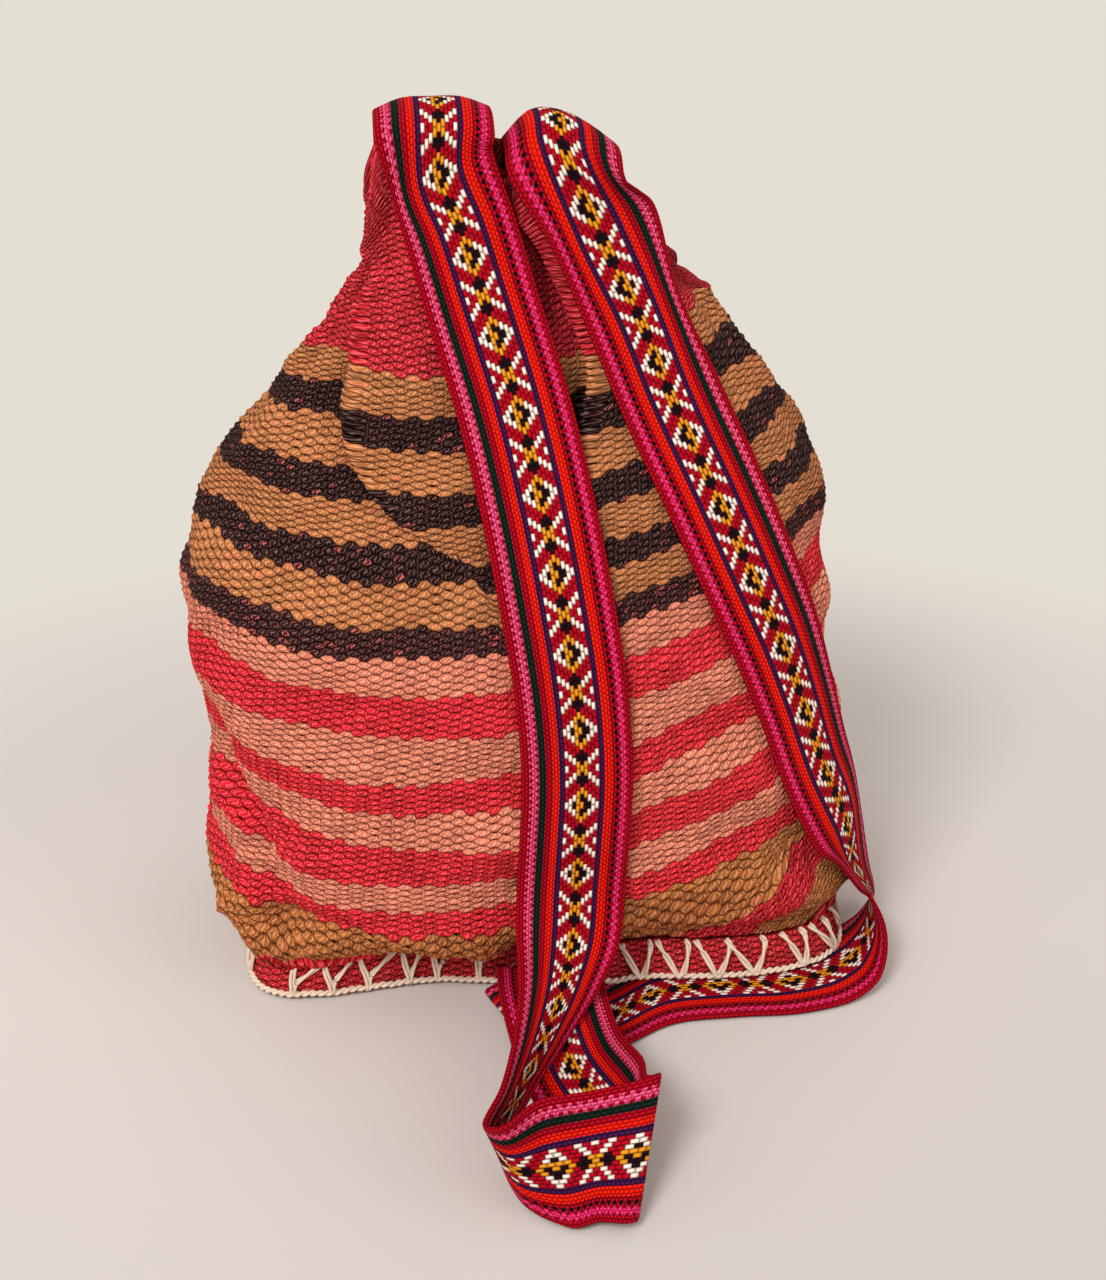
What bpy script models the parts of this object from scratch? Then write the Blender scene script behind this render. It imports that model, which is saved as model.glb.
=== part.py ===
"""Hand-woven wool backpack with its mouth drawn shut, on one long woven band.

Metres, +Z up, front towards -Y, floor at z = 0 and the origin under the middle of the base.
The band is drawstring and shoulder straps in one: both ends are sewn to the front of the base,
and its middle runs through the gathered mouth behind the two peaks.
"""
import math

import bmesh
import bpy
import numpy as np

# Driving dimensions
BAG_HEIGHT = 0.446
BELLY_WIDTH = 0.356
BELLY_DEPTH = 0.206
BASE_WIDTH = 0.322
BASE_DEPTH = 0.172
LIP_HEIGHT = 0.024
PANEL = 0.003
BAND_WIDTH = 0.056
BAND_THICK = 0.002
YARN_RADIUS = 0.0013
THREAD_RADIUS = 0.0007
STITCHES = 34
CLEARANCE = 0.0004
SEWN_OUT = 0.0085        # how far the band's sewn end stays off the yarn round the base
SEWN_UP = 0.0205         # height of that end

# The cloth's sections above the lip. Height as a share of the bag's height, left and right as shares
# of half the belly's width, front and back as shares of half its depth, and how square the outline is.
SECTIONS = (
    (0.074, -0.900, 0.930, -0.840, 0.800, 3.9),
    (0.103, -0.990, 0.995, -1.010, 0.890, 3.4),
    (0.180, -1.010, 0.985, -1.030, 0.912, 3.1),
    (0.270, -0.978, 0.950, -1.010, 0.902, 3.0),
    (0.370, -0.989, 0.905, -0.942, 0.874, 2.9),
    (0.482, -1.017, 0.882, -0.835, 0.825, 2.7),
    (0.574, -0.961, 0.871, -0.680, 0.757, 2.5),
    (0.639, -0.865, 0.820, -0.544, 0.680, 2.4),
    (0.706, -0.730, 0.702, -0.398, 0.583, 2.3),
    (0.774, -0.590, 0.573, -0.281, 0.485, 2.3),
    (0.841, -0.495, 0.470, -0.194, 0.408, 2.4),
    (0.908, -0.460, 0.425, -0.136, 0.340, 2.6),
    (0.964, -0.440, 0.370, -0.078, 0.281, 3.0),
)
GATHER_FROM = 0.80       # share of the height above which the two peaks grow
RING_TOP = 0.964
PEAK_ROUND = 0.008
# Top edge of the gathered cloth: x as a share of half the belly's width, z as a share of the height
PEAKS = (
    (-0.440, 0.925), (-0.385, 0.972), (-0.335, 0.988), (-0.250, 0.995), (-0.150, 0.989),
    (-0.095, 0.968), (-0.068, 0.932), (-0.030, 0.945), (0.045, 0.978), (0.070, 0.978),
    (0.190, 0.951), (0.270, 0.918), (0.370, 0.872),
)
# Woven stripes from the lip up: colour, and the height of the stripe's upper border at the front, the
# left side and the right side, as shares of the bag's height. The borders climb to both sides, because
# the filled cloth leans forwards.
STRIPES = (
    ("olive", 0.066, 0.103, 0.148), ("crimson", 0.072, 0.139, 0.220), ("olive", 0.114, 0.168, 0.262),
    ("coral", 0.144, 0.211, 0.294), ("peach", 0.186, 0.240, 0.336), ("coral", 0.229, 0.300, 0.370),
    ("peach", 0.276, 0.325, 0.406), ("coral", 0.314, 0.354, 0.442), ("peach", 0.366, 0.399, 0.491),
    ("coral", 0.413, 0.453, 0.527), ("peach", 0.455, 0.493, 0.554), ("dark", 0.482, 0.529, 0.579),
    ("tan", 0.516, 0.570, 0.612), ("dark", 0.547, 0.596, 0.639), ("tan", 0.585, 0.628, 0.670),
    ("dark", 0.617, 0.653, 0.695), ("tan", 0.657, 0.693, 0.729), ("dark", 0.691, 0.718, 0.762),
    ("tan", 0.731, 0.749, 0.800), ("coral", 0.964, 0.964, 0.964),
)
ROW_STEP = 0.0180        # rings of the mesh are never farther apart than this
SEGMENTS = 76

# Pleats, each with its fold's x, its depth and its reach to the left, at shares of the height
LEFT_PLEAT = (
    (0.48, -0.110, 0.000, 0.030), (0.54, -0.230, 0.003, 0.034), (0.60, -0.430, 0.009, 0.036),
    (0.66, -0.520, 0.016, 0.034), (0.76, -0.490, 0.014, 0.026), (0.86, -0.455, 0.005, 0.016),
    (0.94, -0.430, 0.000, 0.012), (1.00, -0.420, 0.000, 0.012),
)
CENTRE_PLEAT = (
    (0.48, 0.030, 0.000, 0.030), (0.56, 0.080, 0.007, 0.032), (0.65, 0.150, 0.013, 0.034),
    (0.71, 0.190, 0.015, 0.034), (0.78, 0.140, 0.016, 0.030), (0.85, 0.060, 0.014, 0.022),
    (0.93, -0.030, 0.010, 0.014), (1.00, -0.050, 0.003, 0.010),
)
FOLD_STEP = 0.005        # width of the drop beside a fold
LEFT_COLUMN, CENTRE_COLUMN = 28, 40      # mesh columns that follow the two folds
# Straps' centre lines on the cloth: height share and x as a share of half the belly's width
LEFT_STRAP = (
    (0.935, -0.228), (0.880, -0.180), (0.807, -0.129), (0.706, -0.062), (0.610, -0.014),
    (0.510, 0.025), (0.401, 0.060), (0.315, 0.070), (0.235, 0.060), (0.180, 0.052),
)
RIGHT_STRAP = (
    (0.200, 0.890), (0.289, 0.795), (0.365, 0.730), (0.440, 0.660), (0.514, 0.578),
    (0.602, 0.480), (0.707, 0.360), (0.788, 0.280), (0.880, 0.172),
)
PEAKS_MIDDLE = -0.0735   # x midway between the two peaks that the band crosses, in the same share
PEAK_GAP = 0.005         # gap between the band's two crossings

HALF_W = BELLY_WIDTH / 2
HALF_D = BELLY_DEPTH / 2
BASE_X = 0.012 * BELLY_WIDTH
BASE_Y = -0.002
BASE_TURN = -0.075       # how far the base's front and back run forwards to the right, per metre
BASE_BOW = 0.008         # how far the base's front is pushed in at the left of its middle
LIP_OUT = 0.004          # how far the lip's foot stands out from the base's outline
CLOTH_FOOT = PANEL + CLEARANCE
YARN_FACE = BASE_Y - BASE_DEPTH / 2 - LIP_OUT - 0.0045      # the yarn's outer face at the base's front

COLOURS = {
    "coral": (0.63, 0.075, 0.11), "peach": (0.70, 0.29, 0.18), "tan": (0.50, 0.26, 0.11),
    "dark": (0.030, 0.009, 0.013), "olive": (0.40, 0.19, 0.055), "crimson": (0.30, 0.035, 0.05),
    "band": (0.40, 0.008, 0.02), "cream": (0.83, 0.68, 0.52), "thread": (0.28, 0.006, 0.015),
}


def clear_scene():
    for item in list(bpy.context.scene.objects):
        bpy.data.objects.remove(item, do_unlink=True)


def material(name):
    made = bpy.data.materials.get(name)
    if made is None:
        made = bpy.data.materials.new(name)
        made.use_nodes = True
        shader = made.node_tree.nodes["Principled BSDF"]
        shader.inputs["Base Color"].default_value = (*COLOURS[name], 1.0)
        shader.inputs["Roughness"].default_value = 0.9
    return made


def make_object(name, verts, faces, colours, face_colours=None):
    mesh = bpy.data.meshes.new(name)
    mesh.from_pydata([tuple(v) for v in verts], [], faces)
    made = bpy.data.objects.new(name, mesh)
    bpy.context.scene.collection.objects.link(made)
    for colour in colours:
        mesh.materials.append(material(colour))
    if face_colours:
        for polygon, index in zip(mesh.polygons, face_colours):
            polygon.material_index = index
    work = bmesh.new()
    work.from_mesh(mesh)
    bmesh.ops.recalc_face_normals(work, faces=work.faces)
    work.to_mesh(mesh)
    work.free()
    return made


def ease(x):
    x = max(0.0, min(1.0, x))
    return x * x * (3 - 2 * x)


def smooth_at(rows, at, column):
    """One column of a table at a given first column, on a smooth curve through the rows."""
    if at <= rows[0][0]:
        return rows[0][column]
    if at >= rows[-1][0]:
        return rows[-1][column]
    i = max(k for k in range(len(rows) - 1) if rows[k][0] <= at)

    def slope(k):
        low, high = max(k - 1, 0), min(k + 1, len(rows) - 1)
        return (rows[high][column] - rows[low][column]) / (rows[high][0] - rows[low][0])

    span = rows[i + 1][0] - rows[i][0]
    t = (at - rows[i][0]) / span
    return ((2 * t**3 - 3 * t**2 + 1) * rows[i][column] + (t**3 - 2 * t**2 + t) * span * slope(i)
            + (3 * t**2 - 2 * t**3) * rows[i + 1][column] + (t**3 - t**2) * span * slope(i + 1))


def straight_at(rows, at, column):
    return float(np.interp(at, [row[0] for row in rows], [row[column] for row in rows]))


def base_row(height, inset):
    """The base's outline, drawn in by inset, as a row of sections in metres."""
    half_w, half_d = BASE_WIDTH / 2 - inset, BASE_DEPTH / 2 - inset
    return (height, BASE_X - half_w, BASE_X + half_w, BASE_Y - half_d, BASE_Y + half_d, 5.0)


FREE_ROWS = tuple((row[0] * BAG_HEIGHT, row[1] * HALF_W, row[2] * HALF_W, row[3] * HALF_D, row[4] * HALF_D,
                   row[5]) for row in SECTIONS)
# Inside the lip the cloth keeps clear of it, then swells out over the lip's top
FOOT_ROWS = (
    base_row(CLOTH_FOOT, 0.0128), base_row(LIP_HEIGHT * 0.5, 0.0082), base_row(LIP_HEIGHT, 0.0070),
    base_row(LIP_HEIGHT + 0.0016, 0.0060), base_row(LIP_HEIGHT + 0.0040, -0.0010), FREE_ROWS[0],
)


def base_shift(x, front):
    """How far the turned and pushed-in base lies behind its even outline at x; front is 0 to 1."""
    bow = BASE_BOW * math.exp(-((x / BASE_WIDTH + 0.25) / 0.12) ** 2)
    return BASE_TURN * (x - BASE_X) + bow * front


def front_line(x):
    """The yarn's outer face along the base's front."""
    return YARN_FACE + base_shift(x, 1.0)


def section(z):
    low = z < FREE_ROWS[0][0]
    left, right, front, back, square = ((straight_at(FOOT_ROWS, z, k) if low else smooth_at(FREE_ROWS, z, k))
                                        for k in range(1, 6))
    return (left + right) / 2, (front + back) / 2, (right - left) / 2, (back - front) / 2, square


def round_square(angle, n):
    """A point of the unit outline with squareness n, in the direction of an angle from the front."""
    s, c = math.sin(angle), math.cos(angle)
    size = (abs(s) ** n + abs(c) ** n) ** (1 / n)
    return s / size, -c / size


def top_edge(x):
    return smooth_at(PEAKS, x / HALF_W, 1) * BAG_HEIGHT - PEAK_ROUND


def raised(x, z):
    """Height after the gathered top has been pulled up into its two peaks."""
    start, end = GATHER_FROM * BAG_HEIGHT, RING_TOP * BAG_HEIGHT
    return z if z <= start else start + (z - start) * (top_edge(x) - start) / (end - start)


def unraised(x, z):
    start, end = GATHER_FROM * BAG_HEIGHT, RING_TOP * BAG_HEIGHT
    return z if z <= start else start + (z - start) * (end - start) / (top_edge(x) - start)


def pleat(rows, x, z):
    """Depth of the cloth beside a pleat's fold: it drops at the fold and rises again to the left."""
    share = z / BAG_HEIGHT
    fold = smooth_at(rows, share, 1) * HALF_W
    if share < rows[0][0] or x > fold - FOLD_STEP / 2:
        return 0.0
    return smooth_at(rows, share, 2) * math.exp(-(fold - FOLD_STEP - x) / smooth_at(rows, share, 3))


def fold_angle(rows, z):
    """Angle at which a pleat's fold crosses a row, and how far the row's points are pinned to it."""
    share = z / BAG_HEIGHT
    cx, _, a, _, n = section(min(z, RING_TOP * BAG_HEIGHT))
    u = max(-0.985, min(0.985, (smooth_at(rows, share, 1) * HALF_W - cx) / a))
    return math.atan2(u, (1 - abs(u) ** n) ** (1 / n)), ease((share - rows[0][0] + 0.30) / 0.28)


def row_angles(z):
    """Angles of a row's points, with two neighbours of each pleat pinned either side of its fold."""
    even = [2 * math.pi * (k + 0.5) / SEGMENTS - math.pi for k in range(SEGMENTS)]
    first, last = SEGMENTS // 4, SEGMENTS * 3 // 4 - 1
    places, angles = [first], [even[first]]
    for rows, place in ((LEFT_PLEAT, LEFT_COLUMN), (CENTRE_PLEAT, CENTRE_COLUMN)):
        fold, pinned = fold_angle(rows, z)
        step = FOLD_STEP / section(min(z, RING_TOP * BAG_HEIGHT))[2]
        places += [place, place + 1]
        angles += [even[place] + (fold - step - even[place]) * pinned,
                   even[place + 1] + (fold - even[place + 1]) * pinned]
    front = np.interp(range(first, last + 1), places + [last], angles + [even[last]])
    rear = [math.pi - angle for angle in front[::-1]]
    half = len(rear) // 2
    return [angle - 2 * math.pi for angle in rear[half:]] + list(front) + rear[:half]


def slack(phi, share):
    """Shallow folds where the filled cloth sags, deeper where positive."""
    return (0.0020 + 0.0018 * math.sin(7 * phi + 46 * share + 0.6) + 0.0012 * math.sin(11 * phi - 30 * share)
            + 0.0011 * math.sin(4 * phi - 50 * share + 4.0))


def dent(phi, x, z):
    """How far the cloth lies inside its smooth outline."""
    share = z / BAG_HEIGHT
    front = ease(math.cos(phi) * 2.5)
    inward = 0.0055 * ease((share - 0.58) / 0.34) * (0.5 - 0.5 * math.cos(13 * phi + 0.8)) ** 2
    inward += front * (pleat(LEFT_PLEAT, x, z) + pleat(CENTRE_PLEAT, x, z))
    low = ease((share - 0.07) / 0.05) * ease((0.30 - share) / 0.08)
    inward += 0.010 * low * math.exp(-((phi + 0.93) / 0.09) ** 2)
    inward += 0.008 * low * math.exp(-((phi - 1.12) / 0.10) ** 2)
    return inward + ease((share - 0.08) / 0.06) * slack(phi, share)


def ring_height(phi, ring):
    """Height of a ring at an angle: it climbs from the front to both sides, and evens out behind."""
    front, left, right = ring
    height = front + (right - front) * ease((phi + 0.21) / 1.48) + (left - front) * ease((-phi - 0.35) / 0.87)
    rear = ease((abs(phi) - math.pi / 2) / (math.pi / 2))
    return height + ((left + right) / 2 - height) * rear


def cloth(phi, ring):
    """A point of the cloth: phi is 0 at the front and grows to the right."""
    z = min(max(ring_height(phi, ring), CLOTH_FOOT), RING_TOP * BAG_HEIGHT)
    cx, cy, a, b, n = section(z)
    u, v = round_square(phi, n)
    x, y = a * u, b * v
    keep = 1 - dent(phi, cx + x, z) / math.hypot(x, y)
    x, y = cx + x * keep, cy + y * keep
    foot = 1 - ease((z - LIP_HEIGHT - 0.004) / (FREE_ROWS[0][0] - LIP_HEIGHT - 0.004))
    return np.array((x, y + foot * base_shift(x, ease(-v * 2)), raised(x, z)))


def rings():
    """Heights of the mesh's rings at the front, left and right, with the stripe that each one closes."""
    made = [(row[0], row[0], row[0]) for row in FOOT_ROWS[:-1]]
    colours = ["olive"] * (len(made) - 1)
    for colour, *shares in STRIPES:
        low, top = np.array(made[-1]), np.array(shares) * BAG_HEIGHT
        count = math.ceil(sum(top - low) / 3 / ROW_STEP)
        made += [tuple(low + (top - low) * (k + 1) / count) for k in range(count)]
        colours += [colour] * count
    return made, colours


def build_cloth():
    heights, colours = rings()
    loops = [[cloth(phi, ring) for phi in row_angles(ring[0])] for ring in heights]
    last = loops[-1]
    middle_y = sum(point[1] for point in last) / SEGMENTS
    for t in (0.55, 0.85, 0.98):
        loop = []
        for point in last:
            x = point[0] * (1 - 0.05 * t * t)
            y = middle_y + (point[1] - middle_y) * math.sqrt(1 - t * t)
            loop.append(np.array((x, y, top_edge(x) + PEAK_ROUND * t)))
        loops.append(loop)
        colours.append("coral")
    names = sorted(set(colours))
    verts = [point for loop in loops for point in loop]
    faces, face_colours = [], []
    for j in range(len(loops) - 1):
        for k in range(SEGMENTS):
            a, b = j * SEGMENTS + k, j * SEGMENTS + (k + 1) % SEGMENTS
            faces.append((a, b, b + SEGMENTS, a + SEGMENTS))
            face_colours.append(names.index(colours[j]))
    faces.append(tuple(range(SEGMENTS)))
    face_colours.append(names.index(colours[0]))
    top = (len(loops) - 1) * SEGMENTS
    for k in range(SEGMENTS // 4, SEGMENTS * 3 // 4 - 1):
        behind = SEGMENTS * 3 // 2 - 1 - k
        faces.append((top + k, top + k + 1, top + (behind - 1) % SEGMENTS, top + behind % SEGMENTS))
        face_colours.append(names.index("coral"))
    return make_object("bag_cloth", verts, faces, names, face_colours)


def outline(inset, z, count):
    """The base's outline as points, drawn in by inset."""
    _, left, right, front, back, n = base_row(z, inset)
    cx, cy, a, b = (left + right) / 2, (front + back) / 2, (right - left) / 2, (back - front) / 2
    points = []
    for k in range(count):
        phi = 2 * math.pi * (k + 0.5) / count
        u, v = round_square(phi, n)
        x = cx + a * u
        points.append(np.array((x, cy + b * v + base_shift(x, ease(-v * 2)), z)))
    return points


def lip_inset(z):
    """Inset of the lip's outer face at a height."""
    rows = ((0.0, -LIP_OUT + 0.003), (0.12, -LIP_OUT), (0.55, -LIP_OUT + 0.0015), (1.0, -LIP_OUT + 0.0050))
    return smooth_at(rows, z / LIP_HEIGHT, 1)


def build_base():
    """Base panel, turned up round the cloth's foot as a soft lip."""
    count = 64
    profile = [(lip_inset(0.0) + 0.002, 0.0)]
    profile += [(lip_inset(share * LIP_HEIGHT), share * LIP_HEIGHT) for share in (0.12, 0.5, 0.88)]
    profile += [(lip_inset(LIP_HEIGHT) + 0.0010, LIP_HEIGHT), (0.0060, LIP_HEIGHT - 0.0010),
                (0.0072, LIP_HEIGHT * 0.5), (0.0095, PANEL + 0.003), (0.0120, PANEL)]
    verts, faces = [], []
    for inset, z in profile:
        verts += outline(inset, z, count)
    for j in range(len(profile) - 1):
        for k in range(count):
            a, b = j * count + k, j * count + (k + 1) % count
            faces.append((a, b, b + count, a + count))
    faces.append(tuple(range(count)))
    faces.append(tuple((len(profile) - 1) * count + k for k in range(count)))
    return make_object("base_panel", verts, faces, ["crimson"])


def tube(name, points, radius, colour, sides=6, closed=True):
    """A round cord along points."""
    count = len(points)
    verts, faces = [], []
    for i, point in enumerate(points):
        before = points[(i - 1) % count] if closed or i else point
        after = points[(i + 1) % count] if closed or i < count - 1 else point
        along = after - before
        along /= np.linalg.norm(along)
        out = np.cross(along, (0.0, 0.0, 1.0))
        out /= np.linalg.norm(out)
        up = np.cross(out, along)
        turn = 1.0
        if 0 < i < count - 1 or closed:
            first, second = point - before, after - point
            cosine = first @ second / (np.linalg.norm(first) * np.linalg.norm(second))
            turn = min(1.7, 1 / math.sqrt(max(0.2, (1 + cosine) / 2)))
        for k in range(sides):
            angle = 2 * math.pi * k / sides
            verts.append(point + radius * (math.cos(angle) * out + turn * math.sin(angle) * up))
    last = count if closed else count - 1
    for i in range(last):
        for k in range(sides):
            a, b = i * sides + k, i * sides + (k + 1) % sides
            c, d = ((i + 1) % count) * sides + (k + 1) % sides, ((i + 1) % count) * sides + k
            faces.append((a, b, c, d))
    if not closed:
        faces.append(tuple(range(sides)))
        faces.append(tuple((count - 1) * sides + k for k in range(sides)))
    return make_object(name, verts, faces, [colour])


def apply_boolean(target, other, operation):
    modifier = target.modifiers.new(operation, "BOOLEAN")
    modifier.object = other
    modifier.operation = operation
    modifier.solver = "EXACT"
    bpy.context.view_layer.objects.active = target
    bpy.ops.object.modifier_apply(modifier=modifier.name)
    bpy.data.objects.remove(other, do_unlink=True)


def build_yarn():
    """Cream yarn: a line along the lip's foot and a zigzag of stitches up its face."""
    stand = YARN_RADIUS + CLEARANCE
    low, high = YARN_RADIUS + 0.0011, LIP_HEIGHT - YARN_RADIUS - 0.0002
    line = outline(lip_inset(low) - stand, low, 64)
    edge = tube("edge_yarn", line, YARN_RADIUS, "cream")
    ladder = []
    for i in range(4 * STITCHES):
        z = (low, (low + high) / 2, high, (low + high) / 2)[i % 4]
        row = outline(lip_inset(z) - stand - 0.0002, z, 680)
        ladder.append(even_point(row, (i + 0.5) / (4 * STITCHES)))
    zigzag = tube("zigzag", ladder, YARN_RADIUS, "cream", sides=4)
    apply_boolean(edge, zigzag, "UNION")
    return edge


def even_point(row, share):
    """The point a given share of the way round a closed row of points."""
    row = np.array(row)
    steps = np.linalg.norm(np.roll(row, -1, axis=0) - row, axis=1)
    reach = np.concatenate(([0.0], np.cumsum(steps)))
    at = share * reach[-1]
    closed = np.vstack((row, row[:1]))
    return np.array([np.interp(at, reach, closed[:, k]) for k in range(3)])


def on_cloth(point, stand):
    """Moves a point level with the floor to the cloth's smooth outline, plus a stand-off."""
    x, y, z = point
    cx, cy, a, b, n = section(min(unraised(x, z), RING_TOP * BAG_HEIGHT))
    u, v = x - cx, y - cy
    size = (abs(u / a) ** n + abs(v / b) ** n) ** (1 / n)
    reach = math.hypot(u, v)
    scale = 1 / size + stand / reach
    return np.array((cx + u * scale, cy + v * scale, z))


def front_point(share, x_share, stand, rear=False):
    """The point of the cloth's front, or rear, at a height share and an x share."""
    x, z = x_share * HALF_W, share * BAG_HEIGHT
    cx, cy, a, b, n = section(min(unraised(x, z), RING_TOP * BAG_HEIGHT))
    inner = max(0.0, 1 - abs((x - cx) / a) ** n) ** (1 / n)
    return on_cloth((x, cy + (b if rear else -b) * inner, z), stand)


ACROSS = 5
STAND = BAND_THICK / 2 + 0.0030


def rung(green, pink, follow=0.0):
    """Points across the band from its green edge to its pink edge."""
    green, pink = np.array(green, float), np.array(pink, float)
    points = [green + (pink - green) * k / (ACROSS - 1) for k in range(ACROSS)]
    if follow:
        points = [point + (on_cloth(point, STAND) - point) * follow for point in points]
    return np.array(points)


def strap_rungs(stations, green_side):
    """Rungs of a strap that lies on the cloth, its stations in the order that the band runs."""
    centres = [front_point(share, x, STAND) for share, x in stations]
    rungs = []
    for i, centre in enumerate(centres):
        along = centres[min(i + 1, len(centres) - 1)] - centres[max(i - 1, 0)]
        near = on_cloth(centre + np.array((0.004, 0.0, 0.0)), STAND) - centre
        near -= along * (near @ along) / (along @ along)
        side = near / np.linalg.norm(near) * green_side
        half = side * BAND_WIDTH / 2
        rungs.append(rung(centre + half, centre - half, follow=0.85))
    return rungs


def peak_rungs(centre_x, green_side):
    """Rungs over a peak, from its front to its rear."""
    _, middle, _, half, _ = section(RING_TOP * BAG_HEIGHT)
    rungs = []
    for angle in (15, 50, 90, 130, 165):
        c, s = math.cos(math.radians(angle)), math.sin(math.radians(angle))
        points = []
        for k in range(ACROSS):
            x = centre_x + green_side * BAND_WIDTH * (0.5 - k / (ACROSS - 1))
            spots = [x + BAND_WIDTH * near for near in (-0.125, -0.06, 0.0, 0.06, 0.125)]
            crest = max(top_edge(spot) for spot in spots if abs(spot - centre_x) < 0.501 * BAND_WIDTH)
            points.append((x, middle - (half + STAND) * c, crest + (PEAK_ROUND + STAND) * s))
        rungs.append((np.array(points), 1))
    return rungs


def rear_rung(share, centre_x, green_side):
    """A rung lying down the cloth's far side, where the stiff band bends little across its width."""
    spots = [(centre_x + BAND_WIDTH * near) / HALF_W for near in (-0.5, 0.0, 0.5)]
    y = max(front_point(share, spot, STAND + 0.0010, rear=True)[1] for spot in spots)
    offs = [0.5 - k / (ACROSS - 1) for k in range(ACROSS)]
    return np.array([(centre_x + green_side * BAND_WIDTH * off, y - 0.006 * off * off, share * BAG_HEIGHT)
                     for off in offs])


def hidden_rungs(from_x, to_x):
    """The band's run inside the gathered mouth: it turns edge-on, dips and comes up again."""
    entry, deep, drop = 0.021, 0.008, 0.165 * BAG_HEIGHT
    radius = (to_x - from_x) / 2
    high = 0.862 * BAG_HEIGHT
    down = [(turn, depth, entry + (deep - entry) * depth)
            for turn, depth in ((0.0, 0.0), (0.0, 0.4), (0.35, 0.65), (0.75, 0.85), (1.0, 1.0))]
    rungs = [(from_x, y, high - drop * depth, turn) for turn, depth, y in down]
    for angle in (0.25, 0.5, 0.75):
        rungs.append((from_x + radius * (1 - math.cos(angle * math.pi)), deep,
                      high - drop - radius * math.sin(angle * math.pi), 1.0))
    rungs += [(to_x, y, high - drop * depth, 2.0 - turn) for turn, depth, y in reversed(down)]
    made = []
    for x, y, z, turn in rungs:
        angle = turn * math.pi / 2
        half = np.array((-math.cos(angle), -math.sin(angle), 0.0)) * BAND_WIDTH / 2
        centre = np.array((x, y, z))
        made.append(rung(centre + half, centre - half))
    return made


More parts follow.
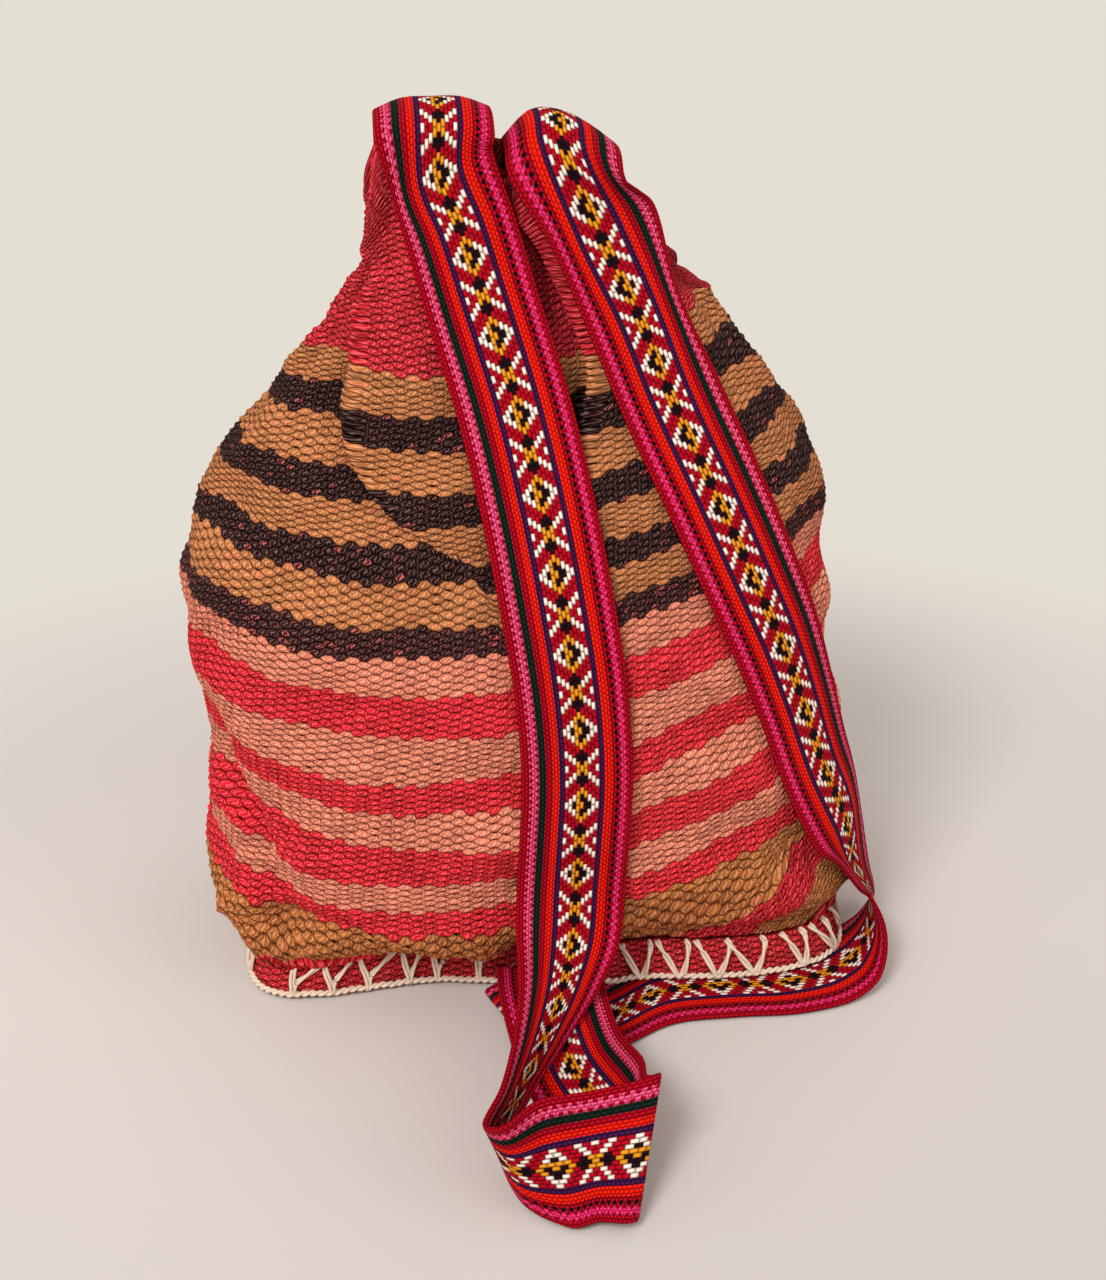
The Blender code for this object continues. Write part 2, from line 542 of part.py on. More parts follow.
def band_rungs():
    """Every rung of the band in order: left end, floor loop, straps, floor run, curl, right end."""
    floor = BAND_THICK / 2 + 0.0004
    belly = SECTIONS[2][3] * HALF_D
    side = SECTIONS[2][2] * HALF_W
    w = BAND_WIDTH / 0.056
    sewn = SEWN_OUT - 0.002

    def free(green, pink):
        """A rung off the cloth: x, y from the base's front, z, stretched to the band's width."""
        ends = []
        for x, y, z in (green, pink):
            ends.append(np.array((x, front_line(x) - 0.001 - y, z)))
        middle, half = (ends[0] + ends[1]) / 2, (ends[0] - ends[1]) / 2 * w
        lift = max(0.0, floor - min((middle + half)[2], (middle - half)[2]))
        middle[2] += lift
        return rung(middle + half, middle - half)

    left_x = PEAKS_MIDDLE * HALF_W - (BAND_WIDTH + PEAK_GAP) / 2
    right_x = left_x + BAND_WIDTH + PEAK_GAP
    path = []
    # end sewn at the base's front, then the segment that runs out under the left strap to the fold
    path += [(free((0.028, sewn, SEWN_UP), (-0.028, sewn, SEWN_UP)), 2),
             (free((0.026, 0.032, 0.0270), (-0.029, 0.038, 0.0275)), 3),
             (free((0.028, 0.062, 0.0290), (-0.020, 0.086, 0.0120)), 3),
             (free((0.033, 0.099, 0.0430), (0.002, 0.131, 0.0065)), 2),
             (free((0.0335, 0.116, 0.0480), (0.0160, 0.157, 0.0020)), 1),
             (free((0.0370, 0.1185, 0.0515), (0.0205, 0.1610, 0.0035)), 1),
             (free((0.0345, 0.1205, 0.0520), (0.0180, 0.1630, 0.0050)), 2)]
    # wide segment facing out, the turn at its left, and up the left strap
    path += [(free((0.005, 0.122, 0.0450), (0.004, 0.161, 0.0040)), 2),
             (free((-0.021, 0.134, 0.0500), (-0.010, 0.161, 0.0014)), 2),
             (free((-0.037, 0.156, 0.0550), (-0.028, 0.147, 0.0014)), 2),
             (free((-0.045, 0.154, 0.0520), (-0.035, 0.125, 0.0040)), 2),
             (free((-0.036, 0.131, 0.0540), (-0.021, 0.094, 0.0140)), 3),
             (free((-0.028, 0.100, 0.0560), (0.000, 0.066, 0.0260)), 3),
             (free((-0.022, 0.062, 0.0600), (0.020, 0.038, 0.0350)), 3),
             (free((-0.020, 0.026, 0.0640), (0.034, 0.0175, 0.0500)), 2)]
    path += [(points, 3) for points in strap_rungs(tuple(reversed(LEFT_STRAP)), -1)]
    # over the left peak, through the mouth, over the right peak
    path += peak_rungs(left_x, -1)
    path += [(rear_rung(0.945, left_x, -1), 2), (rear_rung(0.905, left_x, -1), 2)]
    path += [(points, 3) for points in hidden_rungs(left_x, right_x + 0.004)]
    path += [(rear_rung(0.895, right_x + 0.004, 1), 2), (rear_rung(0.925, right_x + 0.002, 1), 2)]
    path += peak_rungs(right_x, 1)[::-1]
    path[-1] = (path[-1][0], 3)
    path += [(points, 3) for points in strap_rungs(tuple(reversed(RIGHT_STRAP)), 1)]

    def corner(green, pink):
        """A rung at the lower right corner: x from the belly's side, y from the belly's front."""
        ends = [np.array((side + x, belly - y, z)) for x, y, z in (green, pink)]
        middle, half = (ends[0] + ends[1]) / 2, (ends[0] - ends[1]) / 2 * w
        return rung(middle + half, middle - half)

    path += [(corner((0.010, -0.056, 0.050), (-0.004, -0.008, 0.076)), 2),
             (corner((0.018, -0.050, 0.030), (0.006, -0.003, 0.056)), 2),
             (corner((0.018, -0.040, 0.0135), (0.007, 0.008, 0.039)), 2),
             (corner((0.005, -0.031, 0.0045), (-0.004, 0.020, 0.027)), 2)]
    # run along the floor in front of the lip, the curl at its left, and the end sewn to the base
    path += [(free((0.148, 0.0010, 0.0022), (0.146, 0.046, 0.0310)), 3),
             (free((0.115, 0.0010, 0.0022), (0.114, 0.047, 0.0230)), 4),
             (free((0.066, 0.0010, 0.0022), (0.066, 0.047, 0.0180)), 4),
             (free((0.022, 0.0010, 0.0020), (0.026, 0.048, 0.0150)), 3),
             (free((-0.020, 0.0010, 0.0020), (-0.006, 0.048, 0.0125)), 1),
             (free((-0.031, 0.0010, 0.0025), (-0.016, 0.048, 0.0130)), 1),
             (free((-0.034, 0.0010, 0.0062), (-0.019, 0.049, 0.0165)), 1),
             (free((-0.030, 0.0010, 0.0100), (-0.015, 0.049, 0.0200)), 1),
             (free((-0.018, 0.0010, 0.0118), (-0.004, 0.050, 0.0190)), 2),
             (free((0.014, 0.0010, 0.0120), (0.020, 0.050, 0.0185)), 0)]
    return path


def woven(path):
    """Rungs on smooth threads through the path's rungs, several to a span."""
    keys = np.array([points for points, _ in path])
    steps = [count for _, count in path]
    centres = keys.mean(axis=1)
    spans = np.maximum(np.linalg.norm(np.diff(centres, axis=0), axis=1), 1e-5)
    slopes = np.zeros_like(keys)
    for i in range(1, len(keys) - 1):
        before = (keys[i] - keys[i - 1]) / spans[i - 1]
        after = (keys[i + 1] - keys[i]) / spans[i]
        slopes[i] = (before * spans[i] + after * spans[i - 1]) / (spans[i] + spans[i - 1])
    slopes[0] = (keys[1] - keys[0]) / spans[0]
    slopes[-1] = (keys[-1] - keys[-2]) / spans[-1]
    grid = []
    for i in range(len(keys) - 1):
        for k in range(steps[i]):
            t = k / steps[i]
            grid.append((2 * t**3 - 3 * t**2 + 1) * keys[i] + (t**3 - 2 * t**2 + t) * spans[i] * slopes[i]
                        + (3 * t**2 - 2 * t**3) * keys[i + 1] + (t**3 - t**2) * spans[i] * slopes[i + 1])
    grid.append(keys[-1])
    return np.array(grid)


def strip(name, grid, thick, widen, colour):
    """A flat band with the given thickness through a grid of points."""
    rows, across = grid.shape[:2]
    along = np.gradient(grid, axis=0)
    over = np.gradient(grid, axis=1)
    normal = np.cross(along, over)
    normal /= np.linalg.norm(normal, axis=2, keepdims=True)
    wide = grid.copy()
    edge = over / np.linalg.norm(over, axis=2, keepdims=True)
    wide[:, 0] -= edge[:, 0] * widen
    wide[:, -1] += edge[:, -1] * widen
    upper, lower = wide + normal * thick / 2, wide - normal * thick / 2
    loop = 2 * across
    verts = []
    for i in range(rows):
        verts += list(upper[i]) + list(lower[i][::-1])
    faces = []
    for i in range(rows - 1):
        for k in range(loop):
            a, b = i * loop + k, i * loop + (k + 1) % loop
            faces.append((a, b, b + loop, a + loop))
    for first in (0, (rows - 1) * loop):
        for k in range(across - 1):
            faces.append((first + k, first + k + 1, first + loop - 2 - k, first + loop - 1 - k))
    return make_object(name, verts, faces, [colour])


def build_band(bag):
    path = band_rungs()
    grid = woven(path)
    band = strip("strap_band", grid, BAND_THICK, 0.0, "band")
    inside = [i for i, points in enumerate(grid) if hidden(points)]
    first, last = inside[0], inside[-1]
    slot = strip("slot", grid[first:last + 1], BAND_THICK + 0.0040, 0.0020, "coral")
    apply_boolean(bag, slot, "DIFFERENCE")
    return band


def hidden(points):
    """Whether a rung of the band is near or inside the gathered mouth, behind the peaks."""
    y, z = points[:, 1].mean(), points[:, 2].mean()
    return z > 0.5 * BAG_HEIGHT and y > -0.002 and z < 0.925 * BAG_HEIGHT


def build_anchor():
    """Thread that holds the band's two ends to the base's front."""
    over_band = SEWN_UP + BAND_THICK / 2 + THREAD_RADIUS + CLEARANCE
    step = BAND_WIDTH / 8
    points = []
    for i in range(7):
        x = step * (i - 3)
        if i % 2:
            points.append(np.array((x, front_line(x) - 0.0012, SEWN_UP + 0.0010)))
        else:
            points.append(np.array((x, front_line(x) - SEWN_OUT - 0.0040, over_band + 0.0017)))
    return tube("anchor_thread", points, THREAD_RADIUS, "thread", sides=5, closed=False)


def main():
    clear_scene()
    bag = build_cloth()
    build_base()
    build_yarn()
    build_band(bag)
    build_anchor()


main()
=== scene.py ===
# %% [markdown]
# # A hand-woven wool backpack
# The real bag is coarse wool cloth in bright stripes, filled and stood on its base with its mouth
# drawn shut. One long patterned band is both its drawstring and its two shoulder straps. The packed
# model gives the true sizes and places, so this lesson only has to dress it: each solid is replaced
# by a finely modelled piece that fills the same space. We load the model first and keep its box.

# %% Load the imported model
import math
import random

import bmesh
import bpy
import mathutils
import numpy as np
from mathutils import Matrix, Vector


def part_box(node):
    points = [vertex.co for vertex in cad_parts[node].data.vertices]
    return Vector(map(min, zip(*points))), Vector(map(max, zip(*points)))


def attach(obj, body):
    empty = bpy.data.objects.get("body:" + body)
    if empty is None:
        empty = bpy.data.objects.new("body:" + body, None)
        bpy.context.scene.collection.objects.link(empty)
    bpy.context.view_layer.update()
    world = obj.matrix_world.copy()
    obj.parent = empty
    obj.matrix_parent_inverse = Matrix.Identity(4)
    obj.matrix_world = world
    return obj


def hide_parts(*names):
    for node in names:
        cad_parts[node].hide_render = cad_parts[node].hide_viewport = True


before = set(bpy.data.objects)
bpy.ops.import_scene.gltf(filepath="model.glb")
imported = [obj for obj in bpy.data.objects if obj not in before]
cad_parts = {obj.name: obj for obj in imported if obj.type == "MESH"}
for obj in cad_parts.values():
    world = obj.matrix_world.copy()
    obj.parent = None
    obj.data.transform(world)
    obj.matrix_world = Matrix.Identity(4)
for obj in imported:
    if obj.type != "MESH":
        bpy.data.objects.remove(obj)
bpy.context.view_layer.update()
cloth_low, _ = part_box("bag_cloth")
base_low, base_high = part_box("base_panel")
bpy.ops.object.select_all(action="DESELECT")

# %% [markdown]
# ## Camera, light and floor
# A portrait lens of 45 mm stands 55 cm up and looks down 26 degrees, a little from the left,
# as in the photograph. The light is broad and soft, stronger from the upper left, and bright enough
# that a colour renders about as it is written. The floor runs on without a wall, so that the bag can
# be looked at from every side. What the camera sees of it further off fades to a paler, even tone.
# The floor's near part is painted a little darker, as shade.

# %% Camera
CAMERA_PLACE = (-0.076, -0.779, 0.549)
CAMERA_DOWN = math.radians(26.0)
CAMERA_TURN = math.radians(-6.5)
bpy.ops.object.camera_add(location=CAMERA_PLACE,
                          rotation=(math.pi / 2 - CAMERA_DOWN, 0.0, CAMERA_TURN))
camera = bpy.context.object
camera.data.lens = 45.0
camera.data.sensor_width = 36.0
bpy.context.scene.camera = camera
bpy.context.scene.view_settings.view_transform = "Standard"
print("camera at", CAMERA_PLACE)

# %% Soft light
def soft_lamp(name, place, aim, size, watts):
    """A square area lamp that looks at a point."""
    bpy.ops.object.light_add(type="AREA", location=place)
    lamp = bpy.context.object
    lamp.name = name
    lamp.data.size = size
    lamp.data.energy = watts
    toward = (np.array(aim) - np.array(place)).tolist()
    lamp.rotation_euler = mathutils.Vector(toward).to_track_quat("-Z", "Y").to_euler()


soft_lamp("key_lamp", (-0.9, -1.3, 1.7), (0.0, 0.0, 0.2), 0.7, 33)
soft_lamp("fill_lamp", (1.4, -1.0, 0.9), (0.0, 0.0, 0.15), 1.4, 6)

# %% [markdown]
# ## Small helpers for node trees
# Every finish below is built from shader nodes, so a few helpers keep that short. One adds a node
# and wires or sets its inputs, which may be numbers or other nodes' outputs. One gives the short word
# m for the maths nodes of a tree. The others mix two colours, or give the small sums and the random
# numbers that come up again and again.

# %% Node helpers
def add_node(tree, kind, inputs=(), **settings):
    """Adds a shader node, sets its options and feeds its inputs, by name or number."""
    node = tree.nodes.new(kind)
    for name, value in settings.items():
        setattr(node, name, value)
    for name, value in dict(inputs).items():
        if isinstance(value, bpy.types.NodeSocket):
            tree.links.new(value, node.inputs[name])
        else:
            node.inputs[name].default_value = value
    return node


def maths_in(tree):
    """A function that adds a maths node to one tree and gives its output."""
    def m(operation, *values, clamp=False):
        return add_node(tree, "ShaderNodeMath", dict(enumerate(values)), operation=operation,
                        use_clamp=clamp).outputs[0]
    return m


def blend_colour(tree, factor, first, second, mode="MIX"):
    """The output of a colour mix: first where factor is 0, second where it is 1."""
    node = add_node(tree, "ShaderNodeMix", data_type="RGBA", blend_type=mode)
    for socket, value in ((node.inputs[0], factor), (node.inputs[6], first), (node.inputs[7], second)):
        if isinstance(value, bpy.types.NodeSocket):
            tree.links.new(value, socket)
        else:
            socket.default_value = value
    return node.outputs[2]


# %% Small sums
def between(m, value, low, high):
    """1 where value lies between low and high, and 0 elsewhere."""
    return m("MULTIPLY", m("GREATER_THAN", value, low), m("LESS_THAN", value, high))


def vary(m, low, high, share):
    """From low to high as share goes from 0 to 1."""
    return m("ADD", low, m("MULTIPLY", share, high - low))


def from_middle(m, share):
    """0 in the middle of a cell and 1 at both its ends."""
    return m("ABSOLUTE", m("SUBTRACT", m("MULTIPLY", share, 2.0), 1.0))


# %% Random patterns
def noise(tree, vector, scale, detail):
    """A soft random pattern, about 0 to 1."""
    inputs = {"Vector": vector, "Scale": scale, "Detail": detail}
    return add_node(tree, "ShaderNodeTexNoise", inputs).outputs[0]


def three_lots(tree, first, second, third):
    """Three random numbers, 0 to 1, for each cell that three whole numbers name."""
    cell = add_node(tree, "ShaderNodeCombineXYZ", {0: first, 1: second, 2: third}).outputs[0]
    chance = add_node(tree, "ShaderNodeTexWhiteNoise", {"Vector": cell}, noise_dimensions="3D")
    return add_node(tree, "ShaderNodeSeparateColor", {0: chance.outputs["Color"]}).outputs


# %% Colours and materials
def rgb(red, green, blue):
    """A colour as it is seen, 0 to 255, in the linear values that a shader takes."""
    return tuple(((v / 255 + 0.055) / 1.055) ** 2.4 if v > 10 else v / (255 * 12.92)
                 for v in (red, green, blue)) + (1.0,)


def new_material(name, roughness, sheen, gloss=0.25):
    """A plain Principled material, with the nodes still to come."""
    made = bpy.data.materials.new(name)
    made.use_nodes = True
    shader = made.node_tree.nodes["Principled BSDF"]
    shader.inputs["Roughness"].default_value = roughness
    shader.inputs["Sheen Weight"].default_value = sheen
    shader.inputs["Sheen Roughness"].default_value = 0.6
    shader.inputs["Specular IOR Level"].default_value = gloss
    return made, made.node_tree, shader


def finish_bump(tree, shader, height, distance):
    """Feeds a height to the shader's normal."""
    bump = add_node(tree, "ShaderNodeBump", {"Height": height, "Distance": distance, "Strength": 1.0})
    tree.links.new(bump.outputs["Normal"], shader.inputs["Normal"])


def finish_colour(tree, shader, colour, shade):
    """Feeds the shader a colour that is darkened or lightened by a shade."""
    grey = add_node(tree, "ShaderNodeCombineColor", {0: shade, 1: shade, 2: shade}).outputs[0]
    tree.links.new(blend_colour(tree, 1.0, colour, grey, "MULTIPLY"), shader.inputs["Base Color"])


def put_on(piece, material):
    """Gives a piece one material."""
    piece.data.materials.clear()
    piece.data.materials.append(material)


# %% Backdrop
FAR_TONE = rgb(228, 222, 211)
SKY_COLOUR = (1.0, 0.98, 0.955, 1.0)
SKY_STRENGTH = 0.76


def seen_by_camera(tree):
    """1 for rays that show the backdrop, straight or in a gloss, and 0 for those that light the bag."""
    rays = add_node(tree, "ShaderNodeLightPath")
    m = maths_in(tree)
    seen = m("MAXIMUM", rays.outputs["Is Camera Ray"], rays.outputs["Is Glossy Ray"])
    return m("MAXIMUM", seen, rays.outputs["Is Transmission Ray"])


world = bpy.data.worlds.new("studio")
bpy.context.scene.world = world
world.use_nodes = True
sky = world.node_tree.nodes["Background"]
sky.inputs["Color"].default_value = SKY_COLOUR
sky.inputs["Strength"].default_value = SKY_STRENGTH
backdrop = add_node(world.node_tree, "ShaderNodeBackground", {"Color": FAR_TONE, "Strength": 1.0})
both = add_node(world.node_tree, "ShaderNodeMixShader",
                {0: seen_by_camera(world.node_tree), 1: sky.outputs[0], 2: backdrop.outputs[0]})
world.node_tree.links.new(both.outputs[0], world.node_tree.nodes["World Output"].inputs["Surface"])

# %% Floor
FLOOR_TONE = rgb(205, 197, 191)
NEAR_SHADE_TONE = rgb(187, 181, 176)
FLOOR_LEVEL = -0.0008
FLOOR_RADIUS = 9.0
NEAR_FROM, NEAR_REACH = -0.06, 0.40      # y where the floor starts to be painted darker forwards, as shade, and over how much
FADE_MIDDLE = -0.18                      # y of the place from which the fade to the far tone is measured
FADE_FROM, FADE_TO = 0.44, 0.80          # distances from it between which the floor fades

bpy.ops.mesh.primitive_circle_add(vertices=96, radius=FLOOR_RADIUS, fill_type="NGON",
                                  location=(0.0, 0.0, FLOOR_LEVEL))
floor = bpy.context.object
floor.name = "floor"
bpy.ops.object.transform_apply(location=True)
floor_look, tree, shader = new_material("seat_cloth", roughness=0.9, sheen=0.0)
m = maths_in(tree)
spot = add_node(tree, "ShaderNodeTexCoord").outputs["Object"]
across, depth, _ = add_node(tree, "ShaderNodeSeparateXYZ", {0: spot}).outputs
behind = m("SUBTRACT", depth, FADE_MIDDLE)
away = m("SQRT", m("ADD", m("MULTIPLY", across, across), m("MULTIPLY", behind, behind)))
far = m("DIVIDE", m("SUBTRACT", away, FADE_FROM), FADE_TO - FADE_FROM, clamp=True)
far = m("MULTIPLY", m("MULTIPLY", far, far), m("SUBTRACT", 3.0, m("MULTIPLY", far, 2.0)))
# painted shade: the floor's colour darkens towards the front
near = m("DIVIDE", m("SUBTRACT", NEAR_FROM, depth), NEAR_REACH, clamp=True)
tree.links.new(blend_colour(tree, near, FLOOR_TONE, NEAR_SHADE_TONE), shader.inputs["Base Color"])
even = add_node(tree, "ShaderNodeEmission", {"Color": FAR_TONE, "Strength": 1.0})
faded = m("MULTIPLY", far, seen_by_camera(tree))
shown = add_node(tree, "ShaderNodeMixShader", {0: faded, 1: shader.outputs[0], 2: even.outputs[0]})
tree.links.new(shown.outputs[0], tree.nodes["Material Output"].inputs["Surface"])
put_on(floor, floor_look)

# %% [markdown]
# ## The filled bag's shape
# The cloth is a soft sack, so its form is a stack of rounded outlines that swell from the base to
# the belly and close in towards the drawn mouth. The tables below give those outlines as shares of
# the bag's size, read along smooth curves. Everything that lies on the cloth asks the same tables
# where the surface is, so the straps, the lip and the cloth always agree.

# %% Driving sizes
BAG_HEIGHT = 0.446
HALF_WIDTH = 0.178
HALF_DEPTH = 0.103
PANEL_THICK = 0.003
LIP_HEIGHT = base_high[2] - base_low[2]
LIP_OUT = 0.004
BASE_X = (base_low[0] + base_high[0]) / 2
BASE_Y = -0.002
BASE_HALF_WIDTH = (base_high[0] - base_low[0]) / 2 - LIP_OUT
BASE_HALF_DEPTH = 0.086
BASE_SQUARE = 6.0        # 2 would be an ellipse, and more is squarer
BASE_TURN = -0.075       # how far the base's rear comes forward towards the right, per metre
BASE_BOW = 0.008         # bow of the line in front of the base that the band's free rungs count from
CLOTH_FOOT = cloth_low[2]
GATHER_FROM = 0.80       # share of the height above which the cloth is pulled up into its peaks
RING_TOP = 0.964         # share at which the woven rows end, before that pull
PEAK_ROUND = 0.008       # how far the cloth rounds over at its top edge

# Height as a share of the bag's, left and right as shares of half its width, front and back as
# shares of half its depth, and how square the outline is
SECTIONS = (
    (0.074, -0.925, 0.945, -0.850, 0.800, 5.0),
    (0.103, -0.985, 0.990, -0.985, 0.880, 4.2),
    (0.180, -1.010, 0.985, -1.030, 0.912, 3.3),
    (0.270, -0.978, 0.950, -1.010, 0.902, 3.0),
    (0.370, -0.989, 0.905, -0.942, 0.874, 2.9),
    (0.482, -1.017, 0.882, -0.835, 0.825, 2.7),
    (0.574, -0.961, 0.871, -0.680, 0.757, 2.5),
    (0.639, -0.865, 0.820, -0.544, 0.680, 2.4),
    (0.706, -0.730, 0.702, -0.398, 0.583, 2.3),
    (0.774, -0.590, 0.573, -0.281, 0.485, 2.3),
    (0.841, -0.495, 0.470, -0.194, 0.408, 2.4),
    (0.908, -0.460, 0.425, -0.136, 0.340, 2.6),
    (0.964, -0.440, 0.370, -0.078, 0.281, 3.0),
)
# How far the base's front is pushed in, at shares of the base's width
BASE_PUSH = (
    (-0.50, 0.0030), (-0.44, 0.0050), (-0.20, 0.0170), (-0.08, 0.0115), (0.08, 0.0010), (0.17, 0.0030),
    (0.29, -0.0010), (0.42, -0.0015), (0.50, 0.0000),
)
# Top edge of the gathered cloth with its two peaks: x and z as shares
PEAKS = (
    (-0.440, 0.925), (-0.385, 0.972), (-0.335, 0.988), (-0.250, 0.995), (-0.150, 0.989),
    (-0.095, 0.968), (-0.068, 0.932), (-0.030, 0.945), (0.045, 0.978), (0.070, 0.978),
    (0.190, 0.951), (0.270, 0.918), (0.370, 0.872),
)

# %% Curves
def smooth_step(t, span, first, last, first_slope, last_slope):
    """A point on the smooth curve between two places, at share t of the span between them."""
    return ((2 * t**3 - 3 * t**2 + 1) * first + (t**3 - 2 * t**2 + t) * span * first_slope
            + (3 * t**2 - 2 * t**3) * last + (t**3 - t**2) * span * last_slope)


def curve_at(rows, at, column):
    """One column of a table, for an array of first-column values, on a smooth curve."""
    table = np.array(rows, float)
    x, y = table[:, 0], table[:, column]
    at = np.clip(at, x[0], x[-1])
    i = np.clip(np.searchsorted(x, at, side="right") - 1, 0, len(x) - 2)
    low = np.maximum(np.arange(len(x)) - 1, 0)
    high = np.minimum(np.arange(len(x)) + 1, len(x) - 1)
    slope = (y[high] - y[low]) / (x[high] - x[low])
    span = x[i + 1] - x[i]
    return smooth_step((at - x[i]) / span, span, y[i], y[i + 1], slope[i], slope[i + 1])


def reach_along(steps):
    """Distance from the start at each point of a line, from the steps between its points."""
    return np.concatenate(([0.0], np.cumsum(steps)))


def ease(x):
    """0 to 1 with soft ends."""
    x = np.clip(x, 0.0, 1.0)
    return x * x * (3 - 2 * x)


def bell(x, middle, width):
    """A smooth hump of height 1."""
    return np.exp(-((x - middle) / width) ** 2)


# %% Outlines
def base_row(height, inset):
    """The base's outline, drawn in by inset, as a row of sections in metres."""
    half_w, half_d = BASE_HALF_WIDTH - inset, BASE_HALF_DEPTH - inset
    return (height, BASE_X - half_w, BASE_X + half_w, BASE_Y - half_d, BASE_Y + half_d, BASE_SQUARE)


def base_shift(x, front):
    """How far the base lies behind its even outline at x; front is 1 at the front and 0 behind."""
    pushed = curve_at(BASE_PUSH, x / (2 * BASE_HALF_WIDTH), 1)
    return pushed * front + BASE_TURN * (x - BASE_X) * (1 - front)


OUTLINE_POINTS = 2881    # points on an outline while distances along it are measured
FREE_ROWS = tuple((row[0] * BAG_HEIGHT, row[1] * HALF_WIDTH, row[2] * HALF_WIDTH,
                   row[3] * HALF_DEPTH, row[4] * HALF_DEPTH, row[5]) for row in SECTIONS)
# Behind the lip the cloth is drawn in, and just above it the cloth swells out to its own outline
FOOT_ROWS = (
    base_row(CLOTH_FOOT, 0.0128), base_row(LIP_HEIGHT * 0.5, 0.0082), base_row(LIP_HEIGHT, 0.0070),
    base_row(LIP_HEIGHT + 0.0016, 0.0060), base_row(LIP_HEIGHT + 0.0040, -0.0010), FREE_ROWS[0],
)


def section(z):
    """Centre x and y, half width, half depth and squareness of the cloth's outline at heights z."""
    z = np.asarray(z, float)
    foot = np.array(FOOT_ROWS)
    low = z < FREE_ROWS[0][0]
    left, right, front, back, square = (
        np.where(low, np.interp(z, foot[:, 0], foot[:, k]), curve_at(FREE_ROWS, z, k)) for k in range(1, 6))
    return (left + right) / 2, (front + back) / 2, (right - left) / 2, (back - front) / 2, square


def round_square(angle, n):
    """Points of the unit outline with squareness n, at angles counted from the front."""
    s, c = np.sin(angle), np.cos(angle)
    size = (np.abs(s) ** n + np.abs(c) ** n) ** (1 / n)
    return s / size, -c / size


def top_edge(x):
    """Height of the gathered cloth's top edge."""
    return curve_at(PEAKS, x / HALF_WIDTH, 1) * BAG_HEIGHT - PEAK_ROUND


def raised(x, z):
    """Height after the gathered top has been pulled up into its two peaks."""
    start, end = GATHER_FROM * BAG_HEIGHT, RING_TOP * BAG_HEIGHT
    return np.where(z <= start, z, start + (z - start) * (top_edge(x) - start) / (end - start))


def unraised(x, z):
    """The other way round."""
    start, end = GATHER_FROM * BAG_HEIGHT, RING_TOP * BAG_HEIGHT
    return np.where(z <= start, z, start + (z - start) * (end - start) / (top_edge(x) - start))


print("belly", [round(float(v), 4) for v in section(0.16)])

# %% [markdown]
# ## The stripes
# The cloth is weft-faced: thick wool runs sideways and hides the warp, so it shows as columns of
# oval beads, each column shifted by half a bead from the next. A stripe is a whole number of rows.
# The filled sack leans forwards, so a stripe that is low at the front climbs to both sides, and the
# table gives three heights for each. The first rows are tucked in behind the lip.

# %% Stripes and rows
# From the base up: colour, woven rows, and the height of its upper border at the front, the left
# side and the right side, as shares of the bag's height
STRIPES = (
    ("crimson", 3, 0.012, 0.030, 0.098), ("olive", 10, 0.036, 0.085, 0.164),
    ("crimson", 7, 0.060, 0.090, 0.206), ("olive", 6, 0.126, 0.168, 0.251),
    ("coral", 4, 0.152, 0.211, 0.288), ("peach", 5, 0.186, 0.240, 0.336), ("coral", 6, 0.229, 0.300, 0.370),
    ("peach", 5, 0.276, 0.325, 0.406), ("coral", 5, 0.314, 0.354, 0.442), ("peach", 7, 0.366, 0.399, 0.491),
    ("coral", 6, 0.413, 0.453, 0.527), ("peach", 5, 0.455, 0.493, 0.554), ("dusk", 4, 0.482, 0.529, 0.579),
    ("tan", 5, 0.516, 0.570, 0.612), ("dark", 4, 0.547, 0.596, 0.639), ("tan", 6, 0.585, 0.628, 0.670),
    ("dark", 5, 0.617, 0.653, 0.695), ("tan", 6, 0.657, 0.693, 0.729), ("dark", 5, 0.691, 0.718, 0.762),
    # the top rows are coral wool painted darker, as the shade on the gathered top
    ("tan", 6, 0.731, 0.749, 0.800), ("coral_shaded", 33, RING_TOP, RING_TOP, RING_TOP),
)
ROWS = sum(stripe[1] for stripe in STRIPES)
stripe_rows = reach_along([stripe[1] for stripe in STRIPES])
stripe_levels = np.array([(CLOTH_FOOT,) * 3]
                         + [[share * BAG_HEIGHT for share in stripe[2:]] for stripe in STRIPES])
print(ROWS, "woven rows")


def row_levels(row):
    """Heights of a woven row at the front, the left side and the right side."""
    return [float(np.interp(row, stripe_rows, stripe_levels[:, k])) for k in range(3)]


# %% [markdown]
# ## Pleats, creases and slack
# Drawing the mouth shut folds the cloth over itself. Two long pleats show: one at the left, whose
# rolled edge hides a strip of cloth, and one between the straps. Each is a table of places up the
# cloth: where its edge is, how deep the cloth behind it lies, and how far that hollow reaches to the
# left. Behind the left pleat the stripes ride a little higher. Lesser folds are soft waves, and a low
# one runs along the foot at the left, where the cloth sinks onto the lip.

# %% Pleat tables
# Share of the height, the edge's x as a share of half the width, depth and reach in metres
LEFT_PLEAT = (
    (0.48, -0.110, 0.000, 0.030), (0.54, -0.230, 0.003, 0.034), (0.60, -0.430, 0.009, 0.036),
    (0.66, -0.520, 0.016, 0.034), (0.76, -0.490, 0.014, 0.026), (0.86, -0.455, 0.005, 0.016),
    (0.94, -0.430, 0.000, 0.012), (1.00, -0.420, 0.000, 0.012),
)
CENTRE_PLEAT = (
    (0.48, 0.030, 0.000, 0.030), (0.56, 0.080, 0.007, 0.032), (0.65, 0.150, 0.013, 0.034),
    (0.71, 0.190, 0.015, 0.034), (0.78, 0.140, 0.016, 0.030), (0.85, 0.060, 0.014, 0.022),
    (0.93, -0.030, 0.010, 0.014), (1.00, -0.050, 0.003, 0.010),
)
